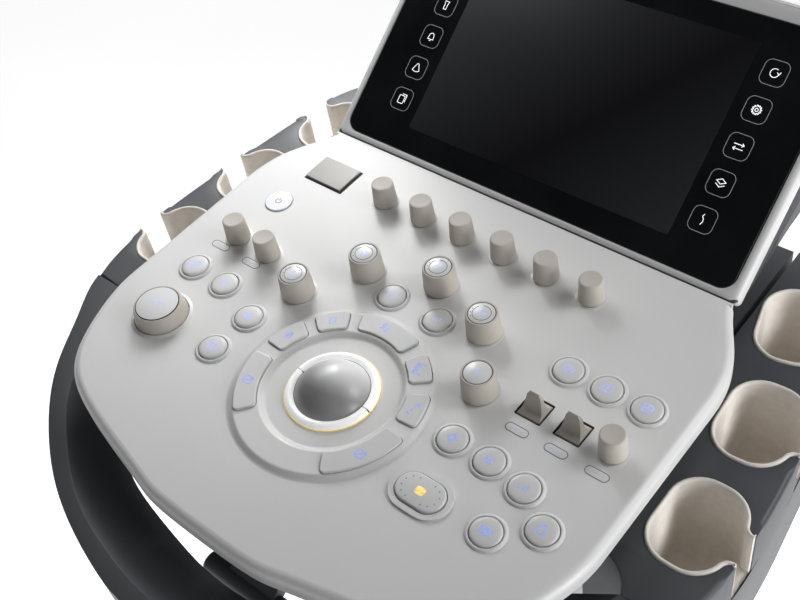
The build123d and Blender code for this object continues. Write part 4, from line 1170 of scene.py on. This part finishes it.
def tray_edge_x(y):
    """How far out the tray's outer edge lies at a place along it."""
    for (x0, y0), (x1, y1) in zip(TRAY_OUTER, TRAY_OUTER[1:]):
        if y0 <= y <= y1:
            return x0 + (x1 - x0) * (y - y0) / (y1 - y0)
    return TRAY_OUTER[-1][0]


def cup_lip(cup, sunk=0.0):
    """The outside of a cup's lip on the deck, from one flared slot edge round to the other."""
    x, y, turn = cup
    c, s = cos(radians(turn)), sin(radians(turn))

    def on_deck(u, v):
        return x + u * c - v * s, y + u * s + v * c

    def edge(v):
        """Where the tray's outer edge crosses a line along the cup's slot."""
        u = 20.0
        for _ in range(60):
            px, py = on_deck(u, v)
            u += 0.5 * (tray_edge_x(py) - sunk - px)
        return on_deck(u, v)

    half_x, half_y = CUP_HALF
    corner_x, corner_y = half_x - CUP_CORNER, half_y - CUP_CORNER
    turn_x = sqrt((CUP_CORNER + SLOT_TURN) ** 2 - (SLOT_HALF + SLOT_TURN - corner_y) ** 2)
    lean = degrees(atan2(SLOT_HALF + SLOT_TURN - corner_y, turn_x))
    quarter = arc((corner_x + turn_x, SLOT_HALF + SLOT_TURN), SLOT_TURN, -90, -180 + lean, 6)
    quarter += arc((corner_x, corner_y), CUP_CORNER, lean + 4, 90, 9)
    quarter += arc((-corner_x, corner_y), CUP_CORNER, 90, 180, 9)
    flare = SLOT_HALF + 7.5
    upper = bent([edge(flare), edge(SLOT_HALF), on_deck(*quarter[0])], [8.0])[:-1]
    lower = bent([edge(-flare), edge(-SLOT_HALF), on_deck(quarter[0][0], -quarter[0][1])], [8.0])[:-1]
    middle_part = [on_deck(u, v) for u, v in quarter] + [on_deck(u, -v) for u, v in quarter[::-1]]
    return upper + middle_part + lower[::-1]


def tray_outlines():
    """The right tray's outline on the deck, anticlockwise: whole, and drawn in round the cups."""
    outer = smooth_path(TRAY_OUTER)
    whole = TRAY_FRONT + outer + TRAY_REAR
    notched = list(TRAY_FRONT)
    level = -10.0
    for cup in CUPS:
        lip = cup_lip(cup)[::-1]
        notched += [point for point in outer if level < point[1] < lip[0][1] - 0.5]
        notched += lip
        level = lip[-1][1] + 0.5
    notched += [point for point in outer if point[1] > level]
    return whole, notched + TRAY_REAR


def cup_mesh(bm, cup):
    """A cup with a rolled lip that turns outwards at its slot, and a plain lower part."""
    lip = cup_lip(cup, LIP_SUNK)[LIP_START:-LIP_START]
    count = len(lip)
    walls = [CUP_WALL * min(1.0, 0.1 + min(k, count - 1 - k) / 9) for k in range(count)]
    rises = [min(1.0, min(k, count - 1 - k) / 5) for k in range(count)]
    rows = []
    for share, height in LIP_SHARES:
        path = offset_path(lip, [wall * share for wall in walls])
        rows.append([
            bm.verts.new((*point, min(height, TRAY_TOP) + max(0.0, height - TRAY_TOP) * rise))
            for point, rise in zip(path, rises)
        ])
    for lower, upper in zip(rows, rows[1:]):
        join_rings(bm, lower, upper, closed=False)
    join_rings(bm, rows[-1], rows[0], closed=False)
    bm.faces.new([row[0] for row in rows])
    bm.faces.new([row[-1] for row in rows])
    x, y, turn = cup
    place = Matrix.Translation((x, y, 0)) @ Matrix.Rotation(radians(turn), 4, "Z")
    outline = rounded_box(2 * CUP_HALF[0], 2 * CUP_HALF[1], 21.0)
    rings = []
    for distance, height in CUP_OUTSIDE + CUP_INSIDE:
        rings.append([bm.verts.new(place @ Vector((*point, height))) for point in inset(outline, distance)])
    bottom = len(CUP_OUTSIDE) - 1
    for k, (lower, upper) in enumerate(zip(rings, rings[1:] + rings[:1])):
        if k != bottom:
            join_rings(bm, lower, upper)
    bm.faces.new(rings[bottom])
    bm.faces.new(rings[bottom + 1])
    sill = offset_path(lip, [0.5 * wall for wall in walls])
    sill = sill[:FLARE_POINTS] + sill[-FLARE_POINTS:]
    low = [bm.verts.new((*point, SLOT_FLOOR - CUP_WALL)) for point in sill]
    high = [bm.verts.new((*point, SLOT_FLOOR + 0.3)) for point in sill]
    join_rings(bm, low, high)
    bm.faces.new(low)
    bm.faces.new(high)


def tray_mesh(bm, whole, notched):
    """The tray's shell: softened edges above, and a plain wall under the slots."""
    radii = [3.4 if point in set(whole) and point[0] > 213.5 else 0.5 for point in notched]
    rows = []
    for share, height in TRAY_EDGE:
        moved = varied_inset(notched, [radius * share for radius in radii])
        row = []
        for point, radius in zip(moved, radii):
            z = height if height < -2 else TRAY_TOP + height * radius
            row.append(bm.verts.new((*point, z)))
        rows.append(row)
    for lower, upper in zip(rows, rows[1:]):
        join_rings(bm, lower, upper)
    for corners in tessellate_polygon([[vertex.co for vertex in rows[-1]]]):
        bm.faces.new([rows[-1][corner] for corner in corners])
    lower = []
    for distance, height in TRAY_FOOT:
        lower.append([bm.verts.new((*point, height)) for point in inset(whole, distance)])
    for low, high in zip(lower, lower[1:]):
        join_rings(bm, low, high)
    bm.faces.new(lower[0])


def varied_inset(outline, distances):
    """A closed outline, given anticlockwise, moved inwards by a distance for each point."""
    result = []
    count = len(outline)
    for k, point in enumerate(outline):
        before = Vector(point) - Vector(outline[k - 1])
        after = Vector(outline[(k + 1) % count]) - Vector(point)
        along = (before.normalized() + after.normalized()).normalized()
        result.append((point[0] - along.y * distances[k], point[1] + along.x * distances[k]))
    return result


def trays_and_cups():
    whole, notched = tray_outlines()
    for k, side in enumerate((1, -1)):
        mirrored = DECK @ Matrix.Diagonal((side, 1, 1, 1))
        trays, cups = bmesh.new(), bmesh.new()
        tray_mesh(trays, whole, notched)
        for cup in CUPS:
            cup_mesh(cups, cup)
        for bm in (trays, cups):
            bm.normal_update()
            triangulate_wide(bm)
        stands_for = ([], []) if k else (["side_trays"], ["probe_cups"])
        piece(f"side_tray_shell_{k + 1}", trays, mirrored, "console", SLATE, stands_for[0])
        piece(f"probe_cup_liners_{k + 1}", cups, mirrored, "console", CUP, stands_for[1], 50.0)
    softened("front_handle", "console", SLATE, [
        (5.0, 5, lambda p: abs(p.z - TRAY_TOP) < 0.3 and p.y < -5.0),
        (4.0, 3, lambda p: p.z < TRAY_TOP - 33.5 and p.y < -5.0),
    ])


# ---- monitor and its arm --------------------------------------------------------------------------------
def frontal(x, y, z, turn=0.0):
    """A frame in the row frame, in millimetres, whose Z faces the user; turned about the vertical."""
    way = Matrix.Rotation(radians(turn), 4, "Z") @ Matrix.Rotation(pi / 2, 4, "X")
    return ROW @ Matrix.Translation((x, y, z)) @ way


def slits(bm, width, height, pitch, count, low=-0.3, top=0.35):
    """A column of level oblong slots, dark, round the middle of a face."""
    for k in range(count):
        prism(bm, moved(slot_outline(width, height, 5), 0, (k - (count - 1) / 2) * pitch), low, top)


def vents(name, place, *sizes):
    bm = bmesh.new()
    slits(bm, *sizes)
    piece(name, bm, place, "cart", SHADOW_LINE)


SCREEN_Z = 1242.0
SCREEN_FRONT = 140.0
SCREEN_REAR = 180.0


def monitor_trim():
    front = frontal(0, SCREEN_FRONT, SCREEN_Z)
    slab("monitor_glass", (516.0, 314.0, 10.0), (-0.4, 0.7, 0.4), front, "monitor", BLACK_GLASS)
    slab("monitor_display", (478.0, 269.0, 1.0), (0.5, 0.8, 0.05), at(front, 0, 7.0),
         "monitor", DISPLAY_GREY)
    lamp = plate(slot_outline(9.0, 1.6, 5), 0.5, 0.85, 0.05)
    piece("monitor_lamp", lamp, at(front, 236.0, -149.0), "monitor", LEGEND_WHITE)
    back = frontal(0, SCREEN_REAR, SCREEN_Z, 180.0)
    bm = bmesh.new()
    for x in (-150.0, 150.0):
        for y in (-84.0, 84.0):
            column = bmesh.new()
            slits(column, 84.0, 2.6, 6.4, 5)
            gather(bm, column, Matrix.Translation((x, y, 0)))
    piece("monitor_rear_vents", bm, back, "monitor", SHADOW_LINE)
    rim("monitor_mount_rim", (112.0, 112.0, 12.0), (2.4, -0.3, 0.8, 0.3), back,
        "monitor", SLATE_LIGHT)
    bm = bmesh.new()
    screw = [(0, -0.3), (4.2, -0.3), (4.2, 0.7), (3.4, 1.1), (1.5, 1.1), (1.5, 0.5), (0, 0.5)]
    for x in (-42.0, 42.0):
        for y in (-42.0, 42.0):
            gather(bm, lathe(screw, 20), Matrix.Translation((x, y, 0)))
    piece("monitor_mount_screws", bm, back, "monitor", STEEL)
    slab("arm_cable_cover", (26.0, 300.0, 6.0), (-0.3, 1.6, 1.0), frontal(0, 252.0, 1052.0, 180.0),
         "monitor_arm", SLATE)
    collar = [(33.1, -1.0), (33.1, 3.0), (33.5, 3.6), (34.2, 3.6), (34.6, 3.0), (34.6, -1.0)]
    piece("arm_collar_ring", lathe(collar, 72, looped=True), ROW @ Matrix.Translation((0, 234.0, 890.0)),
          "monitor_arm", SLATE_LIGHT)


# ---- cart -----------------------------------------------------------------------------------------------
TOWER_HALF = 165.0
TOWER_FRONT = -80.0
TOWER_REAR = 240.0
TOWER_MIDDLE = 80.0
PANEL_Z = 468.0  # heights of the middles of the front panel, the port bay, the seams and the socket bay
PORT_Z = 594.0
SEAM_Z = 448.0
SOCKET_Z = 326.0
SOCKETS = [  # place in the bay, width and height
    (-62.0, 0.0, 34.0, 28.0), (-14.0, 20.0, 38.0, 11.0), (-14.0, -2.0, 38.0, 11.0), (-14.0, -24.0, 38.0, 9.0),
    (34.0, 18.0, 17.0, 15.0), (34.0, -12.0, 17.0, 15.0), (66.0, 12.0, 18.0, 26.0),
]
SEAM = (1.6, -0.4, 0.25, 0.1)


def cart_trim():
    front = frontal(0, TOWER_FRONT, 0)
    slab("tower_front_panel", (224.0, 372.0, 16.0), (-0.4, 2.0, 1.4), at(front, 0, PANEL_Z),
         "cart", PANEL)
    rim("tower_front_seam", (228.0, 376.0, 18.0), (2.2, -0.4, 0.25, 0.1), at(front, 0, PANEL_Z),
        "cart", SHADOW_LINE)
    slab("port_bay", (196.0, 74.0, 10.0), (1.0, 2.5, 0.3), at(front, 0, PORT_Z), "cart", SLATE)
    bm, metal = bmesh.new(), bmesh.new()
    for x in (-60.0, 0.0, 60.0):
        frame_plate(moved(rounded_box(44.0, 54.0, 5.0), x, 0), 3.0, 2.2, 4.6, 0.6, bm=bm)
        plate(moved(rounded_box(30.0, 40.0, 3.0), x, 0), 2.2, 3.3, 0.3, bm=metal)
    piece("port_frames", bm, at(front, 0, PORT_Z), "cart", SLATE_LIGHT)
    piece("port_contacts", metal, at(front, 0, PORT_Z), "cart", FORK)
    vents("front_intake", at(front, 0, 334.0), 150.0, 3.4, 9.0, 9, 1.6, 2.3)
    for turn, name in ((90.0, "right"), (-90.0, "left")):
        side = frontal(TOWER_HALF if turn > 0 else -TOWER_HALF, TOWER_MIDDLE, 0, turn)
        rim(f"tower_{name}_seam", (224.0, 400.0, 16.0), SEAM, at(side, 0, SEAM_Z),
            "cart", SHADOW_LINE)
        vents(f"tower_{name}_vents", at(side, 0, 300.0), 150.0, 3.2, 9.0, 8)
    rear = frontal(0, TOWER_REAR, 0, 180.0)
    rim("tower_rear_seam", (232.0, 430.0, 12.0), SEAM, at(rear, 0, SEAM_Z), "cart", SHADOW_LINE)
    vents("tower_rear_vents", at(rear, 0, 560.0), 170.0, 3.6, 10.0, 12)
    slab("socket_bay", (190.0, 96.0, 8.0), (-0.4, 1.4, 0.5), at(rear, 0, SOCKET_Z),
         "cart", SLATE)
    bm = bmesh.new()
    for x, y, width, depth in SOCKETS:
        frame_plate(moved(rounded_box(width, depth, 2.0), x, y), 1.4, 1.0, 2.2, 0.3, bm=bm)
    piece("socket_frames", bm, at(rear, 0, SOCKET_Z), "cart", STEEL)
    bumper = frame_plate(rounded_box(524.0, 629.4, 90.0, 12), 3.0, 0.0, 16.0, 2.0)
    bmesh.ops.scale(bumper, vec=(1.004, 1.0035, 1.0), verts=bumper.verts)
    piece("base_bumper", bumper, ROW @ Matrix.Translation((0, 40.7, 144.0)), "cart", SLATE)
    bm = bmesh.new()
    for k in range(6):
        rib = moved(rounded_box(250.0 - 4.0 * k, 4.6, 2.2, 4), 0, -190.0 - 9.0 * k)
        plate(rib, -0.5, 1.6, 0.9, bm=bm)
    piece("foot_rest_ribs", bm, ROW @ Matrix.Translation((0, 0, 196.0)), "cart", SLATE)
    rim("column_gaiter", (148.0, 108.0, 22.0), (8.0, -0.5, 4.0, 1.6),
        ROW @ Matrix.Translation((0, -4.0, 700.0)), "cart", SLATE)


CASTER_X = 212.0
REAR_WHEEL_X = 214.0
WHEEL_R = 62.5
SPOKE_R = 31.0
PEDAL_PLACE = (-214.0, 138.0)


def caster_trim():
    """A hub cover on each side of every wheel, a brake pedal on each front fork."""
    hub = [(20.5, 12.2), (21.5, 13.4), (24.0, 13.8), (38.0, 13.8), (41.0, 13.2), (41.6, 12.2)]
    for name, x in (("caster_wheel_left", -CASTER_X), ("caster_wheel_right", CASTER_X),
                    ("rear_wheel_left", -REAR_WHEEL_X), ("rear_wheel_right", REAR_WHEEL_X)):
        bm = bmesh.new()
        for side in (-1, 1):
            cover = lathe(hub, 64, looped=True)
            for k in range(5):
                spoke = moved(circle(0, 0, 4.2, 16), SPOKE_R * cos(tau * k / 5), SPOKE_R * sin(tau * k / 5))
                prism(cover, spoke, 13.0, 14.6)
            gather(bm, cover, Matrix.Rotation(side * pi / 2, 4, "Y"))
        place = ROW @ Matrix.Translation((x, middle(name).y / MM, WHEEL_R))
        piece(f"{name}_hub", bm, place, name, FORK)
    for side, name in ((-1, "left"), (1, "right")):
        place = ROW @ Matrix.Translation((side * CASTER_X, *PEDAL_PLACE)) @ Matrix.Rotation(radians(8), 4, "X")
        slab(f"brake_pedal_{name}", (30.0, 15.0, 4.0), (-1.5, 3.5, 1.4), at(place, 0, 0, -8.6),
             f"caster_fork_{name}", SLATE_LIGHT)


round_caps()
ring_key_signs()
freeze()
power()
drum()
dials()
plain_knobs()
paddles()
labels()
trackball_trim()
panel_plate()
touch_panel()
touch_frame()
trays_and_cups()
monitor_trim()
cart_trim()
caster_trim()
